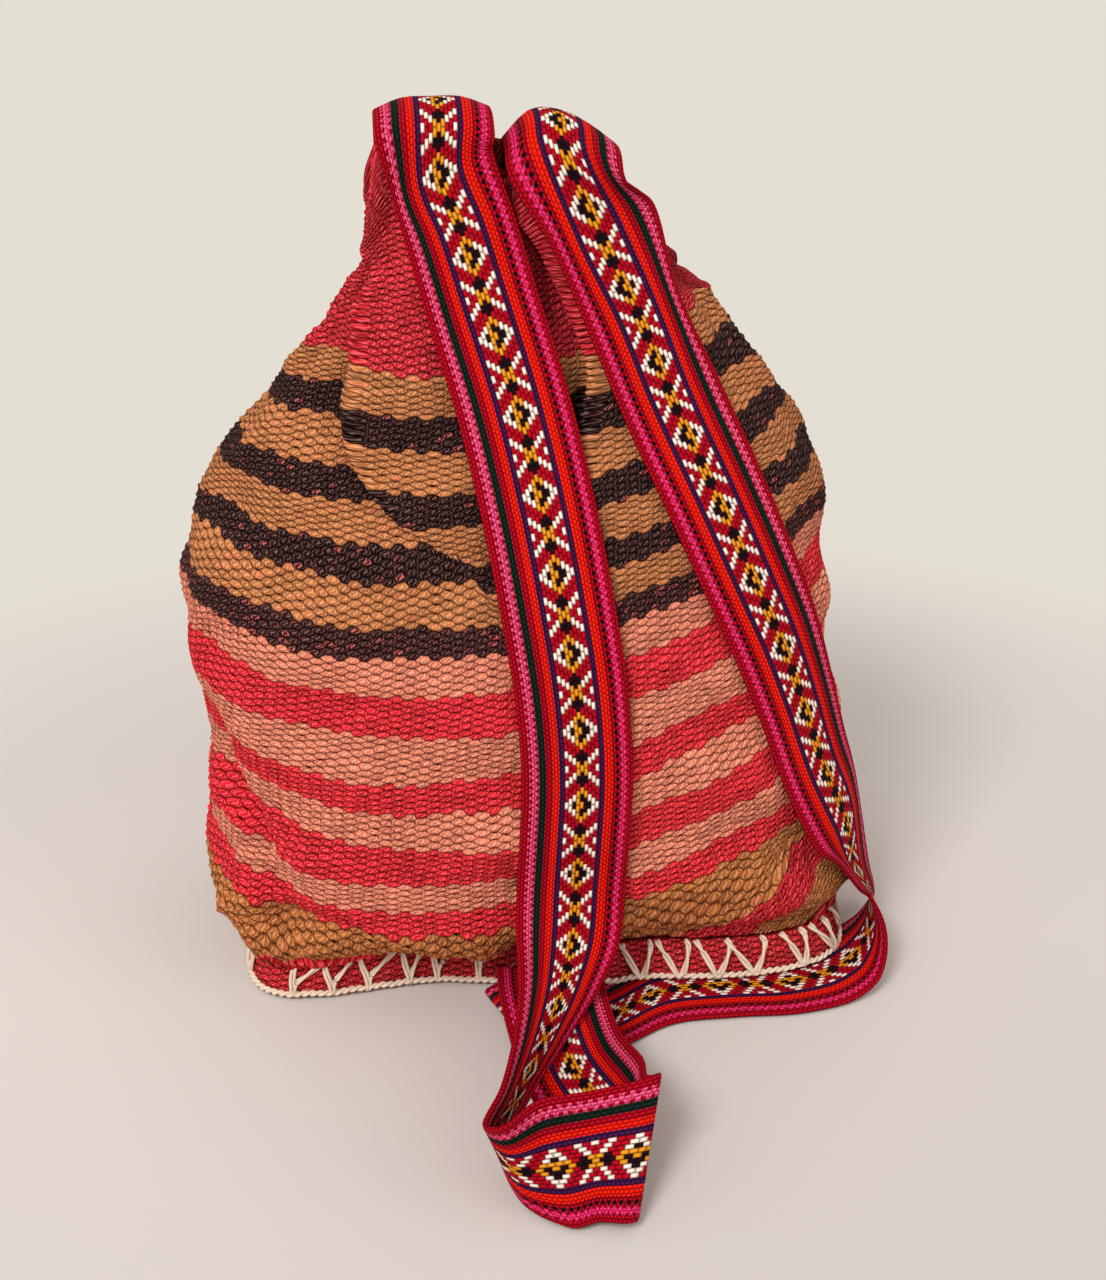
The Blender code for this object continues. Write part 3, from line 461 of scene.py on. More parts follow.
# Edge of the low fold: angle from the front, and share of the bag's height
LOW_FOLD = (
    (-1.15, 0.075), (-0.94, 0.111), (-0.82, 0.129), (-0.68, 0.142), (-0.57, 0.139), (-0.42, 0.103),
    (-0.32, 0.086), (-0.09, 0.066), (0.10, 0.058),
)
FOOT_BLEND = 0.030       # height over which the cloth above the lip leaves the base's uneven outline
LOW_SHARE = 0.072        # share of the height below which rows rise later and more steeply to the right
COLUMNS = 300
LEFT_SIDE, RIGHT_SIDE = COLUMNS // 4, COLUMNS * 3 // 4
FOLD_COLUMNS = ((LEFT_PLEAT, 112.5), (CENTRE_PLEAT, 160.0))      # the mesh column at each pleat's edge
ROLL = 0.0050            # half the width over which a deep pleat's edge rolls under
SOFT_ROLL = 0.016        # how much wider that is where a pleat only begins
HARD_DEPTH = 0.012       # depth from which a pleat counts as deep
OVERHANG = 0.55          # share of its depth by which an edge rolls over what lies behind it
BEAD = 0.0062            # width of a column of beads where the cloth is gathered
PITCH = 0.0035           # height of a woven row that lies flat


# %% Smooth cloth
def climb_at(phi, levels, ride=0.0):
    """Height at an angle of a row with given levels; ride lifts the cloth behind the left pleat."""
    front, left, right = levels
    share = front / BAG_HEIGHT
    low = 1 - ease((share - LOW_SHARE) / 0.05)
    later = 0.50 * low + 0.12 * ease((LOW_SHARE - share) / (LOW_SHARE / 2))
    to_right = ease((phi + 0.21 - later) / (1.48 - 0.90 * low))
    to_left = ease((-phi - 0.35) / 0.87)
    to_left = to_left + (1 - to_left) * ride
    height = front + (right - front) * to_right + (left - front) * to_left
    return height + ((left + right) / 2 - height) * ease((np.abs(phi) - np.pi / 2) / (np.pi / 2))


def smooth_cloth(phi, levels, ride=0.0):
    """Points of the cloth before its folds, with the height before the peaks are pulled up."""
    z = np.clip(climb_at(phi, levels, ride), CLOTH_FOOT, RING_TOP * BAG_HEIGHT)
    cx, cy, a, b, n = section(z)
    u, v = round_square(phi, n)
    x = cx + a * u
    foot = 1 - ease((z - LIP_HEIGHT - 0.004) / FOOT_BLEND)
    return x, cy + b * v + foot * base_shift(x, ease(-v * 2)), z


# %% Soft waves
def waves(across, up, seed, count, shortest, longest):
    """Soft uneven waves over a surface, about -1 to 1, from a few sines of random direction."""
    draw = np.random.default_rng(seed)
    total = np.zeros(np.broadcast(across, up).shape)
    for _ in range(count):
        turn = draw.uniform(0, np.pi)
        length = draw.uniform(shortest, longest)
        start = draw.uniform(0, 6.283)
        total += np.sin((across * np.cos(turn) + up * np.sin(turn)) * 6.283 / length + start)
    return total / math.sqrt(count)


def slack(phi, share):
    """Shallow folds where the filled cloth sags, deeper where positive."""
    return (0.0020 + 0.0018 * np.sin(7 * phi + 46 * share + 0.6) + 0.0012 * np.sin(11 * phi - 30 * share)
            + 0.0011 * np.sin(4 * phi - 50 * share + 4.0))


# %% Creases
GATHER_CREASE, LEFT_CREASE, RIGHT_CREASE = 0.0050, 0.0100, 0.0080
LOW_HOLLOW, LOW_SWELL = 0.0025, 0.0028


def creases(phi, z):
    """Depth of the creases that are not pleats: at the foot's two corners and where the mouth gathers."""
    share = z / BAG_HEIGHT
    inward = GATHER_CREASE * ease((share - 0.58) / 0.34) * (0.5 - 0.5 * np.cos(13 * phi + 0.8)) ** 2
    low = ease((share - 0.07) / 0.05) * ease((0.38 - share) / 0.08)
    left_line = -0.74 - 0.36 * ease((share - 0.16) / 0.18)
    inward += LEFT_CREASE * low * bell(phi, left_line, 0.085)
    inward += RIGHT_CREASE * bell(phi, 0.80, 0.10) * bell(share, 0.150, 0.045)
    edge = curve_at(LOW_FOLD, phi, 1)
    here = ease((phi + 1.15) / 0.20) * (1 - ease((phi + 0.25) / 0.25))
    inward += here * (LOW_HOLLOW * ease((edge - share) / 0.020 + 0.6) * ease((share - 0.060) / 0.012)
                      - LOW_SWELL * bell(share, edge + 0.016, 0.016))
    return inward + ease((share - 0.08) / 0.06) * slack(phi, share)


# %% Columns and pleats of a row
def spread_columns(levels, fine, reach):
    """Where a row's columns lie along its outline, and where each pleat's edge does."""
    share, whole = levels[0] / BAG_HEIGHT, reach[-1]
    places, targets, folds = [0, LEFT_SIDE], [0.0, whole * 0.25], []
    for rows, place in FOLD_COLUMNS:
        cx, _, a, _, n = section(levels[0])
        u = np.clip((float(curve_at(rows, share, 1)) * HALF_WIDTH - cx) / a, -0.985, 0.985)
        angle = math.atan2(u, (1 - abs(u) ** n) ** (1 / n))
        fold = float(np.interp(angle, fine, reach))
        # columns are spread evenly, and drawn to a pleat's edge a little below where the pleat sets in
        pinned = float(ease((share - rows[0][0] + 0.30) / 0.28))
        places.append(place)
        targets.append(whole * place / COLUMNS * (1 - pinned) + fold * pinned)
        folds.append((rows, fold))
    return places + [RIGHT_SIDE, COLUMNS], targets + [whole * 0.75, whole], folds


def pleated(folds, along, share):
    """How far the pleats push a row's points in, and how far their edges roll over to the side."""
    inward, slide = np.zeros_like(along), np.zeros_like(along)
    for rows, fold in folds:
        if share > rows[0][0]:
            depth, wide = float(curve_at(rows, share, 2)), float(curve_at(rows, share, 3))
            hard = float(ease(depth / HARD_DEPTH))
            roll = ROLL + SOFT_ROLL * (1 - hard)
            away = (along - fold) / roll
            behind = np.exp(-np.maximum(fold - roll - along, 0.0) / wide)
            inward += depth * behind * (1 - ease((away + 1) / 2))
            slide -= OVERHANG * depth * hard * np.sin(np.pi * np.clip(away, -1, 1))
    return inward, slide


# %% Cloth surface
def cloth_row(row, columns):
    """One woven row: its points, and where each lies in beads."""
    levels = row_levels(row)
    share = levels[0] / BAG_HEIGHT
    fine = np.linspace(-np.pi, np.pi, OUTLINE_POINTS)
    x, y, _ = smooth_cloth(fine, levels)
    reach = reach_along(np.hypot(np.diff(x), np.diff(y)))
    places, targets, folds = spread_columns(levels, fine, reach)
    along = np.interp(columns, places, targets)
    # a bead is two columns wide, or of a fixed width where the cloth is gathered
    bead = 2 * reach[-1] / COLUMNS
    bead += (BEAD - bead) * float(ease((share - 0.42) / 0.20))
    phase = (along - np.interp(COLUMNS / 2, places, targets)) / bead + COLUMNS / 4
    # left of the left pleat, where the pleat is deep, the row rides up
    strength = float(ease((share - 0.46) / 0.10) * ease((0.80 - share) / 0.10))
    ride = 0.5 * strength * (1 - ease((along - folds[0][1]) / (2 * ROLL) + 0.5))
    phi = np.interp(along, reach, fine)
    x, y, z = smooth_cloth(phi, levels, ride)
    ahead = smooth_cloth(phi + 0.002, levels, ride)
    tangent = np.stack((ahead[0] - x, ahead[1] - y))
    tangent /= np.linalg.norm(tangent, axis=0)
    outward = np.stack((tangent[1], -tangent[0]))
    inward, slide = pleated(folds, along, share)
    inward += creases(phi, z)
    x = x - outward[0] * inward + tangent[0] * slide
    y = y - outward[1] * inward + tangent[1] * slide
    return np.stack((x, y, raised(x, z)), axis=1), phase


# %% Cloth off the loom
def from_loom(name, points, uv):
    """A flat grid, as cloth comes off the loom, laid through points; edges that meet are joined."""
    rows, columns = points.shape[:2]
    bpy.ops.mesh.primitive_grid_add(x_subdivisions=columns - 1, y_subdivisions=rows - 1, size=1.0)
    piece = bpy.context.object
    piece.name = name
    mesh = piece.data
    mesh.name = name
    mesh.vertices.foreach_set("co", points.reshape(-1).astype(np.float32))
    corners = np.zeros(len(mesh.loops), dtype=np.int64)
    mesh.loops.foreach_get("vertex_index", corners)
    mesh.uv_layers.active.data.foreach_set("uv", uv.reshape(-1, 2)[corners].reshape(-1).astype(np.float32))
    work = bmesh.new()
    work.from_mesh(mesh)
    bmesh.ops.remove_doubles(work, verts=work.verts, dist=1e-6)
    bmesh.ops.dissolve_degenerate(work, edges=work.edges, dist=1e-7)
    open_edges = [edge for edge in work.edges if edge.is_boundary]
    bmesh.ops.holes_fill(work, edges=open_edges, sides=0)
    bmesh.ops.recalc_face_normals(work, faces=work.faces)
    work.to_mesh(mesh)
    work.free()
    mesh.shade_smooth()
    bpy.ops.object.select_all(action="DESELECT")
    print(name, len(mesh.vertices), "points,", sum(len(f.vertices) - 2 for f in mesh.polygons), "triangles")
    return piece


# %% Normals and steady chance
def grid_normals(points):
    """Directions across a grid of points; where its side edges meet they share theirs."""
    along = np.gradient(points, axis=0)
    over = np.gradient(points, axis=1)
    normal = np.cross(over, along)
    if np.allclose(points[:, 0], points[:, -1], atol=1e-6):
        normal[:, 0] += normal[:, -1]
        normal[:, -1] = normal[:, 0]
    return normal / np.maximum(np.linalg.norm(normal, axis=2, keepdims=True), 1e-12)


def scatter(a, b, seed):
    """A steady random number, 0 to 1, for each pair of whole numbers."""
    draw = np.random.default_rng(seed).random((512, 512))
    return draw[np.mod(a.astype(int), 512), np.mod(b.astype(int), 512)]


# %% Weave relief
def bead_relief(phase, row, height, seed):
    """Height of the woven beads above the cloth, at column phase and row."""
    column = np.floor(phase + 1e-6)
    side = 0.5 - 0.5 * np.cos(2 * np.pi * phase)
    lifted = row + 0.5 * np.mod(column, 2)
    size = 0.70 + 0.60 * scatter(column, np.floor(lifted + 1e-6), seed)
    return height * side * (0.15 - 0.5 * size * np.cos(2 * np.pi * lifted))


# %% [markdown]
# ## The cloth, row by row
# The surface is walked in half rows. Near the two pleats extra columns are added, because an edge
# that rolls under needs more of them. The beads then stand out along the surface's own direction.
# At the front left the filled cloth hangs a little over the lip, so the points there are moved out and
# down. The last rows turn over the top and down into the drawn mouth.

# %% How the cloth hangs over the lip
# How far it hangs down, at places from left to right
HANG_DROP = (
    (-0.165, 0.0040), (-0.135, 0.0050), (-0.094, 0.0032), (-0.057, 0.0060), (-0.034, 0.0078), (0.0, 0.0078),
)
HANG_OUT = 0.0080                         # how far it stands out there
# Where the hanging sets in or ends, and the distance over which it does so: x at the left and at the
# right, how far in front of the middle, and the heights at which its drop and its standing out fade
HANG_LEFT, HANG_RIGHT, HANG_FRONT = (-0.172, 0.022), (-0.035, 0.030), (0.02, 0.03)
DROP_FADE, OUT_FADE = (0.032, 0.050), (0.036, 0.030)
LIP_CLEAR = 0.005                         # height above the lip over which the hanging grows


def grown(value, place, over):
    """0 up to a place, and 1 from some distance over beyond it."""
    return ease((value - place) / over)


def hung(points, outward):
    """The cloth's points once its front left hangs over the lip."""
    x, y, z = (points[:, :, axis] for axis in range(3))
    hang = grown(x, *HANG_LEFT) * (1 - grown(x, *HANG_RIGHT))
    hang *= grown(-y, *HANG_FRONT) * grown(z, LIP_HEIGHT, LIP_CLEAR)
    hang *= 1 - grown(z, *DROP_FADE)
    moved = points + outward * (HANG_OUT * hang * (1 - grown(z, *OUT_FADE)))[:, :, None]
    moved[:, :, 2] -= curve_at(HANG_DROP, x, 1) * hang
    return moved


# %% Bag cloth
RELIEF = 0.0013           # height of the beads
SHUFFLE = 0.14            # how far a column of beads may slip against its neighbours, in rows
SWAY = 0.16               # how far neighbouring columns wander up and down together, in rows
SAG = 0.0005              # height of the cloth's finest unevenness
near_folds = [place + step / 3 for _, place in FOLD_COLUMNS for step in range(-9, 10)]
columns = np.array(sorted(set(list(range(COLUMNS + 1)) + near_folds)))
cloth_rows = np.arange(0, ROWS + 0.25, 0.5)
made = [cloth_row(row, columns) for row in cloth_rows]
points = np.array([row_points for row_points, _ in made])
phases = np.array([row_phases for _, row_phases in made])
row_numbers = cloth_rows[:, None] + 0 * phases
outward = grid_normals(points)
per_row = np.gradient(points, axis=0) * 2
spacing = np.linalg.norm(per_row, axis=2)
packed = np.clip(spacing / PITCH, 0.0, 1.0)
beyond_lip = ease((points[:, :, 2] - LIP_HEIGHT - 0.001) / 0.004)
flat_x, flat_y = phases * BEAD, cloth_rows[:, None] * PITCH
slip = SHUFFLE * (2 * scatter(np.floor(phases + 1e-6), 0 * phases, 3) - 1) * (np.mod(phases, 1.0) > 0.2)
slip += SWAY * waves(flat_x, flat_y, 14, 9, 0.018, 0.060)
sag = SAG * waves(flat_x, flat_y, 12, 9, 0.016, 0.040)
relief = bead_relief(phases, row_numbers, RELIEF, 5) * packed
for field in (slip, sag, relief):
    field *= beyond_lip
    field[:, -1] = field[:, 0]
slip *= ease((ROWS - cloth_rows) / 3)[:, None]
points = hung(points + per_row * slip[:, :, None] + outward * (sag + relief)[:, :, None], outward)
points[0, :, 2] = CLOTH_FOOT
points[:, -1] = points[:, 0]

# %% The drawn mouth
MOUTH_TURN = 1.48         # angle through which the top edge turns over into the mouth
MOUTH_SUNK = 0.010        # how far the cloth then goes down inside
last = points[-1]
_, mouth_y, _, _, _ = section(RING_TOP * BAG_HEIGHT)
turned, turned_rows = [], []
for k, turn in enumerate((0.2, 0.4, 0.6, 0.78, 0.92, 1.0)):
    ring = last.copy()
    ring[:, 0] *= 1 - 0.04 * turn * turn
    ring[:, 1] = mouth_y + (last[:, 1] - mouth_y) * math.cos(turn * MOUTH_TURN)
    ring[:, 2] = top_edge(ring[:, 0]) + (last[:, 2] - top_edge(last[:, 0])) * (1 - turn)
    ring[:, 2] += PEAK_ROUND * math.sin(turn * MOUTH_TURN)
    turned.append(ring)
    turned_rows.append(ROWS + (k + 1) * 0.4)
turned.append(turned[-1] - (0.0, 0.0, MOUTH_SUNK))
turned_rows.append(ROWS + 3.0)
points = np.concatenate((points, np.array(turned)))
phases = np.concatenate((phases, np.tile(phases[-1], (len(turned), 1))))
cloth_rows = np.concatenate((cloth_rows, turned_rows))
cloth_uv = np.stack((phases, cloth_rows[:, None] + 0 * phases), axis=2)
bag_cloth = from_loom("woven_bag", points, cloth_uv)

# %% [markdown]
# ## Wool that shows its weave
# The finish reads the piece's own UV map, where one unit is one column of beads across and one row
# up. The border between two columns is pushed to and fro, so that each bead is an oval that fits
# between its neighbours, and a stripe's colour is read bead by bead, so its border steps as woven
# ones do. The same numbers give every bead its own tone, the slanted strands of spun yarn, a fleck
# of another wool here and there, and a few small holes. Light and shade are painted in too: painted
# shade round each bead's rounded form and in the hollow under it, a painted highlight on the
# strands' crests, and the holes painted dark as shade.

# %% Wool tones
# Each wool's tone, and the share of its strands that carry a fleck
WOOLS = {
    "coral": (232, 38, 52, 0.010), "peach": (236, 138, 108, 0.030), "tan": (196, 122, 72, 0.040),
    "dark": (40, 12, 15, 0.03), "dusk": (56, 20, 22, 0.12), "olive": (188, 112, 58, 0.02),
    # the top rows' wool is coral painted darker, as shade
    "crimson": (214, 34, 48, 0.02), "coral_shaded": (206, 36, 50, 0.010), "lip": (196, 28, 40, 0.03),
}
FLECK = rgb(226, 92, 88)
# tone of the painted highlight on the crests of the strands
STRAND_HIGHLIGHT_TONE = rgb(255, 206, 190)
LIGHTEST = 1.30           # the most that a bead is lightened


# %% Beads of the weave
def wool_weave(tree, stripes, seed):
    """The bead under each point, its place in the bead and its stripe's colour."""
    m = maths_in(tree)
    uv = add_node(tree, "ShaderNodeUVMap", uv_map="UVMap").outputs[0]
    across, up, _ = add_node(tree, "ShaderNodeSeparateXYZ", {0: uv}).outputs
    grain = add_node(tree, "ShaderNodeTexNoise", {"Vector": uv, "Scale": 0.8, "Detail": 2.0})
    drift = add_node(tree, "ShaderNodeSeparateColor", {0: grain.outputs["Color"]}).outputs
    push = m("MULTIPLY", m("COSINE", m("MULTIPLY", across, 3.1416)), m("COSINE", m("MULTIPLY", up, 6.2832)))
    moved = m("SUBTRACT", across, m("MULTIPLY", push, 0.20))
    moved = m("ADD", moved, m("MULTIPLY", m("SUBTRACT", drift[0], 0.5), 0.5))
    column = m("FLOOR", moved)
    shift = m("MULTIPLY", m("FLOORED_MODULO", column, 2.0), 0.5)
    lifted = m("ADD", m("ADD", up, shift), m("MULTIPLY", m("SUBTRACT", drift[1], 0.5), 0.4))
    bead = m("FLOOR", lifted)
    total = sum(rows for _, rows in stripes)
    ramp = add_node(tree, "ShaderNodeValToRGB", {0: m("DIVIDE", m("ADD", bead, 0.5), float(total))})
    ramp.color_ramp.interpolation = "CONSTANT"
    done = 0
    for k, (wool, rows) in enumerate(stripes):
        stop = ramp.color_ramp.elements[0] if k == 0 else ramp.color_ramp.elements.new(done / total)
        stop.position = done / total
        stop.color = rgb(*WOOLS[wool][:3])[:3] + (WOOLS[wool][3],)
        done += rows
    ramp.color_ramp.elements.remove(ramp.color_ramp.elements[len(stripes)])
    return dict(u=m("FRACT", moved), v=m("FRACT", lifted), column=column, bead=bead, seed=seed, uv=uv,
                colour=ramp.outputs[0], flecks=ramp.outputs[1])


# %% Wool finish
def wool_finish(tree, shader, weave, depth):
    """Bead shading painted into the colour, painted highlights on the strands, flecks, holes painted dark as
    shade, and fibres.
    """
    m = maths_in(tree)
    u, v, uv = (weave[key] for key in ("u", "v", "uv"))
    luck = three_lots(tree, weave["column"], weave["bead"], weave["seed"])
    side, rise = from_middle(m, u), from_middle(m, v)
    round_side = m("SUBTRACT", 1.0, m("POWER", side, 3.5))
    round_rise = m("SUBTRACT", 1.0, m("POWER", rise, 2.4))
    pillow = m("MULTIPLY", m("POWER", round_side, 0.5), m("POWER", round_rise, 0.7), clamp=True)
    # painted shade: darker in the hollow under each bead and between its columns, where shade falls
    under = m("POWER", m("MULTIPLY", m("SUBTRACT", rise, 0.58), 2.38, clamp=True), 1.4)
    under = m("MULTIPLY", under, m("SUBTRACT", 1.0, m("MULTIPLY", m("MULTIPLY", side, side), 0.5)))
    beside = m("MULTIPLY", m("SUBTRACT", side, 0.75), 1.4, clamp=True)
    gap = m("MAXIMUM", under, beside)

    # strands of the yarn slant across the bead
    slant = m("SUBTRACT", m("MULTIPLY", u, 3.3), m("MULTIPLY", v, 1.5))
    slant = m("ADD", slant, m("MULTIPLY", luck[0], 0.6))
    strand = vary(m, 0.0, 1.0, m("ADD", 0.5, m("MULTIPLY", m("SINE", m("MULTIPLY", slant, 6.2832)), 0.5)))
    strand_number = m("ADD", m("MULTIPLY", weave["column"], 7.0), m("FLOOR", m("ADD", slant, 0.75)))
    strand_luck = three_lots(tree, strand_number, weave["bead"], weave["seed"])
    flecked = m("MULTIPLY", m("LESS_THAN", strand_luck[0], weave["flecks"]),
                m("MULTIPLY", m("MULTIPLY", strand, pillow), 1.1, clamp=True))

    stretched = add_node(tree, "ShaderNodeMapping", {"Vector": uv, "Scale": (5.0, 12.0, 1.0)}).outputs[0]
    fibre = noise(tree, stretched, 1.4, 4.0)
    patch = noise(tree, uv, 0.10, 2.0)
    # holes: their darkness is painted shade, as of the dark inside showing through
    holed = m("MULTIPLY", m("LESS_THAN", luck[1], m("MULTIPLY", m("SUBTRACT", patch, 0.38), 0.50)),
              m("MULTIPLY", m("GREATER_THAN", rise, 0.74), m("LESS_THAN", side, 0.55)))

    shade = vary(m, 0.92, 1.40, luck[2])
    # darkest and lightest factor that each of these brings: fibre, patch and strand luck are the wool's own
    # uneven tone, pillow and gap are painted shade on and round each bead, strand is painted light and shade
    # along the real strands, and holed is holes painted dark as shade
    for low, high, share in ((0.70, 1.26, fibre), (0.84, 1.16, patch), (0.58, 1.28, strand),
                             (0.84, 1.12, strand_luck[1]), (0.66, 1.06, pillow), (1.0, 0.30, gap),
                             (1.0, 0.10, holed)):
        shade = m("MULTIPLY", shade, vary(m, low, high, share))
    colour = blend_colour(tree, m("MULTIPLY", flecked, 0.62), weave["colour"], FLECK)
    # painted shade: in those hollows the colour is deepened as shade deepens it
    crevice_shade_colour = blend_colour(tree, 1.0, colour, colour, "MULTIPLY")
    colour = blend_colour(tree, m("MULTIPLY", gap, 0.7), colour, crevice_shade_colour)
    # painted highlight: the crests of the strands are paled towards a light tone
    strand_highlight = m("MULTIPLY", m("MULTIPLY", m("POWER", strand, 3.0), pillow), 0.12)
    colour = blend_colour(tree, strand_highlight, colour, STRAND_HIGHLIGHT_TONE)
    finish_colour(tree, shader, colour, m("MINIMUM", shade, LIGHTEST))
    height = m("ADD", pillow, m("MULTIPLY", m("MULTIPLY", strand, pillow), 0.34))
    height = m("SUBTRACT", m("ADD", height, m("MULTIPLY", fibre, 0.30)), m("MULTIPLY", holed, 0.5))
    finish_bump(tree, shader, height, depth)


# %% Wool material
def wool_material(name, stripes, seed, depth):
    """Beaded wool cloth whose rows take their colour from a list of (wool, rows)."""
    made, tree, shader = new_material(name, roughness=0.95, sheen=0.0, gloss=0.06)
    wool_finish(tree, shader, wool_weave(tree, stripes, seed), depth)
    return made


# %% Dress the bag
CLOTH_BUMP = 0.0016       # depth of the bead shading that the mesh is too coarse for
put_on(bag_cloth, wool_material("striped_wool", [stripe[:2] for stripe in STRIPES], 1.0, CLOTH_BUMP))
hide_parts("bag_cloth")
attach(bag_cloth, "root")

# %% [markdown]
# ## The base and its lip
# The bag stands on a flat panel of the same cloth, turned up round the foot of the sack as a soft
# crimson lip about an inch high. It is made as the sack was: a grid is laid over the lip's profile,
# from the underside up the outer face and down behind it, and beads are raised on the part that
# shows.

# %% Outline of the base
OVER_BAND = 0.0029       # how far the lip rides up where the band runs under it
PANEL_FOOT = 0.045       # inset of the part of the panel that rests on the floor there


def base_outline(inset, z, count):
    """A closed row of points round the base, evenly spaced, starting at the back."""
    _, left, right, front, back, n = base_row(z, inset)
    fine = np.linspace(-np.pi, np.pi, OUTLINE_POINTS)
    u, v = round_square(fine, n)
    x = (left + right) / 2 + (right - left) / 2 * u
    y = (front + back) / 2 + (back - front) / 2 * v + base_shift(x, ease(-v * 2))
    reach = reach_along(np.hypot(np.diff(x), np.diff(y)))
    at = np.linspace(0, reach[-1], count)
    x, y = np.interp(at, reach, x), np.interp(at, reach, y)
    over_band = OVER_BAND * ease((x - 0.012) / 0.018) * ease((-0.020 - y) / 0.012) * (inset < PANEL_FOOT)
    return np.stack((x, y, z + over_band * (1 - z / LIP_HEIGHT)), axis=1)


def lip_inset(z):
    """Inset of the lip's outer face at a height."""
    # share of the lip's height, and inset there
    rows = ((0.0, 0.003 - LIP_OUT), (0.12, -LIP_OUT), (0.55, 0.0015 - LIP_OUT), (1.0, 0.0050 - LIP_OUT))
    return curve_at(rows, z / LIP_HEIGHT, 1)


# %% Base panel
LIP_COLUMNS = 304
LIP_BEAD_ROWS = 6
LIP_BEAD = 0.004          # height of a row of beads on the lip
LIP_RELIEF, LIP_WAVES = 0.0008, 0.0005   # height of its beads and of its soft waves
LIP_BUMP = 0.0013         # depth of its bead shading
# The profile as inset, height and row: underside, outer face, top edge and down behind
lip_foot, lip_head = float(lip_inset(0.0)), float(lip_inset(LIP_HEIGHT))
profile = [(PANEL_FOOT + 0.002, 0.0, -8.0), (PANEL_FOOT - 0.010, 0.0, -6.0),
           (lip_foot + 0.010, 0.0, -2.0), (lip_foot + 0.002, 0.0, -0.5)]
for step in range(2 * LIP_BEAD_ROWS + 1):
    z = LIP_HEIGHT * (0.03 + 0.93 * step / (2 * LIP_BEAD_ROWS))
    profile.append((float(lip_inset(z)), z, step / 2))
profile += [(lip_head + 0.0008, LIP_HEIGHT, LIP_BEAD_ROWS + 0.3),
            (0.0052, LIP_HEIGHT - 0.0006, LIP_BEAD_ROWS + 1.0),
            (0.0072, LIP_HEIGHT * 0.5, LIP_BEAD_ROWS + 4.0),
            (0.0095, PANEL_THICK + 0.003, LIP_BEAD_ROWS + 6.0),
            (0.0125, PANEL_THICK, LIP_BEAD_ROWS + 7.0)]
points = np.array([base_outline(inset, z, LIP_COLUMNS + 1) for inset, z, _ in profile])
lip_rows = np.array([row for _, _, row in profile])[:, None]
phases = np.tile(np.arange(LIP_COLUMNS + 1) / 2, (len(profile), 1))
relief = bead_relief(phases, lip_rows + 0 * phases, LIP_RELIEF, 8)
relief += LIP_WAVES * waves(phases * BEAD, lip_rows * LIP_BEAD, 21, 7, 0.02, 0.07)
relief[:, -1] = relief[:, 0]
relief *= (lip_rows >= 0) & (lip_rows <= LIP_BEAD_ROWS)
points += grid_normals(points) * relief[:, :, None]
points[:, :, 2] = np.clip(points[:, :, 2], 0.0, LIP_HEIGHT)
base_panel = from_loom("base_and_lip", points, np.stack((phases, lip_rows + 2.0 + 0 * phases), axis=2))
put_on(base_panel, wool_material("crimson_wool", [("lip", 18)], 2.0, LIP_BUMP))
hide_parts("base_panel")
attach(base_panel, "root")

# %% [markdown]
# ## The long band
# One flat woven band, 56 mm wide and almost two metres long, is drawstring and both shoulder straps.
# It starts sewn to the base's front, loops on the floor, climbs as the left strap, passes over the
# left peak, runs through the gathered mouth, comes over the right peak, falls as the right strap,
# turns at the lower corner and comes back along the floor. A band like this can only bend and twist,
# so it is drawn as rungs, from its green edge to its pink edge, with smooth threads through them.

# %% Where the band touches the cloth
BAND_WIDTH = 0.056
BAND_THICK = 0.002
YARN_FACE = BASE_Y - BASE_HALF_DEPTH - LIP_OUT - 0.0045      # y of the yarn's face on an even base
SEWN_OUT = 0.0085        # how far in front of that yarn the band's end is sewn on
SEWN_UP = 0.0205         # height of the sewn end's middle
ACROSS = 5               # points across the band in each of its rungs
STAND = BAND_THICK / 2 + 0.0030      # from the cloth's smooth outline to the band's middle
ON_FLOOR = BAND_THICK / 2 + 0.0004   # height of the band's middle where it lies flat on the floor
# Middle of each strap from one end to the other: height and x as shares
LEFT_STRAP = (
    (0.935, -0.228), (0.880, -0.180), (0.807, -0.129), (0.706, -0.062), (0.610, -0.014),
    (0.510, 0.025), (0.401, 0.060), (0.315, 0.070), (0.235, 0.060), (0.180, 0.052),
)
RIGHT_STRAP = (
    (0.200, 0.890), (0.289, 0.795), (0.365, 0.730), (0.440, 0.660), (0.514, 0.578),
    (0.602, 0.480), (0.707, 0.360), (0.788, 0.280), (0.880, 0.172),
)
PEAKS_MIDDLE = -0.0735   # x midway between the two peaks that the band crosses, in the same share
PEAK_GAP = 0.005         # gap between the band's two crossings


# %% Rungs on the cloth
def front_line(x):
    """The line in front of the base from which the band's run is measured."""
    return YARN_FACE + BASE_TURN * (x - BASE_X) + BASE_BOW * bell(x / (2 * BASE_HALF_WIDTH), -0.25, 0.12)


def lip_line(x):
    """The yarn's outer face along the base's front."""
    return YARN_FACE + float(base_shift(x, 1.0))


def on_cloth(point, stand):
    """Moves a point level with the floor to the cloth's smooth outline, plus a stand-off."""
    x, y, z = point
    cx, cy, a, b, n = section(min(float(unraised(x, z)), RING_TOP * BAG_HEIGHT))
    u, v = x - cx, y - cy
    size = (abs(u / a) ** n + abs(v / b) ** n) ** (1 / n)
    scale = 1 / size + stand / math.hypot(u, v)
    return np.array((cx + u * scale, cy + v * scale, z))


def front_point(share, x_share, stand, rear=False):
    """The point of the cloth's front, or rear, at a height share and an x share."""
    x, z = x_share * HALF_WIDTH, share * BAG_HEIGHT
    cx, cy, a, b, n = section(min(float(unraised(x, z)), RING_TOP * BAG_HEIGHT))
    inner = max(0.0, 1 - abs((x - cx) / a) ** n) ** (1 / n)
    return on_cloth((x, cy + (b if rear else -b) * inner, z), stand)


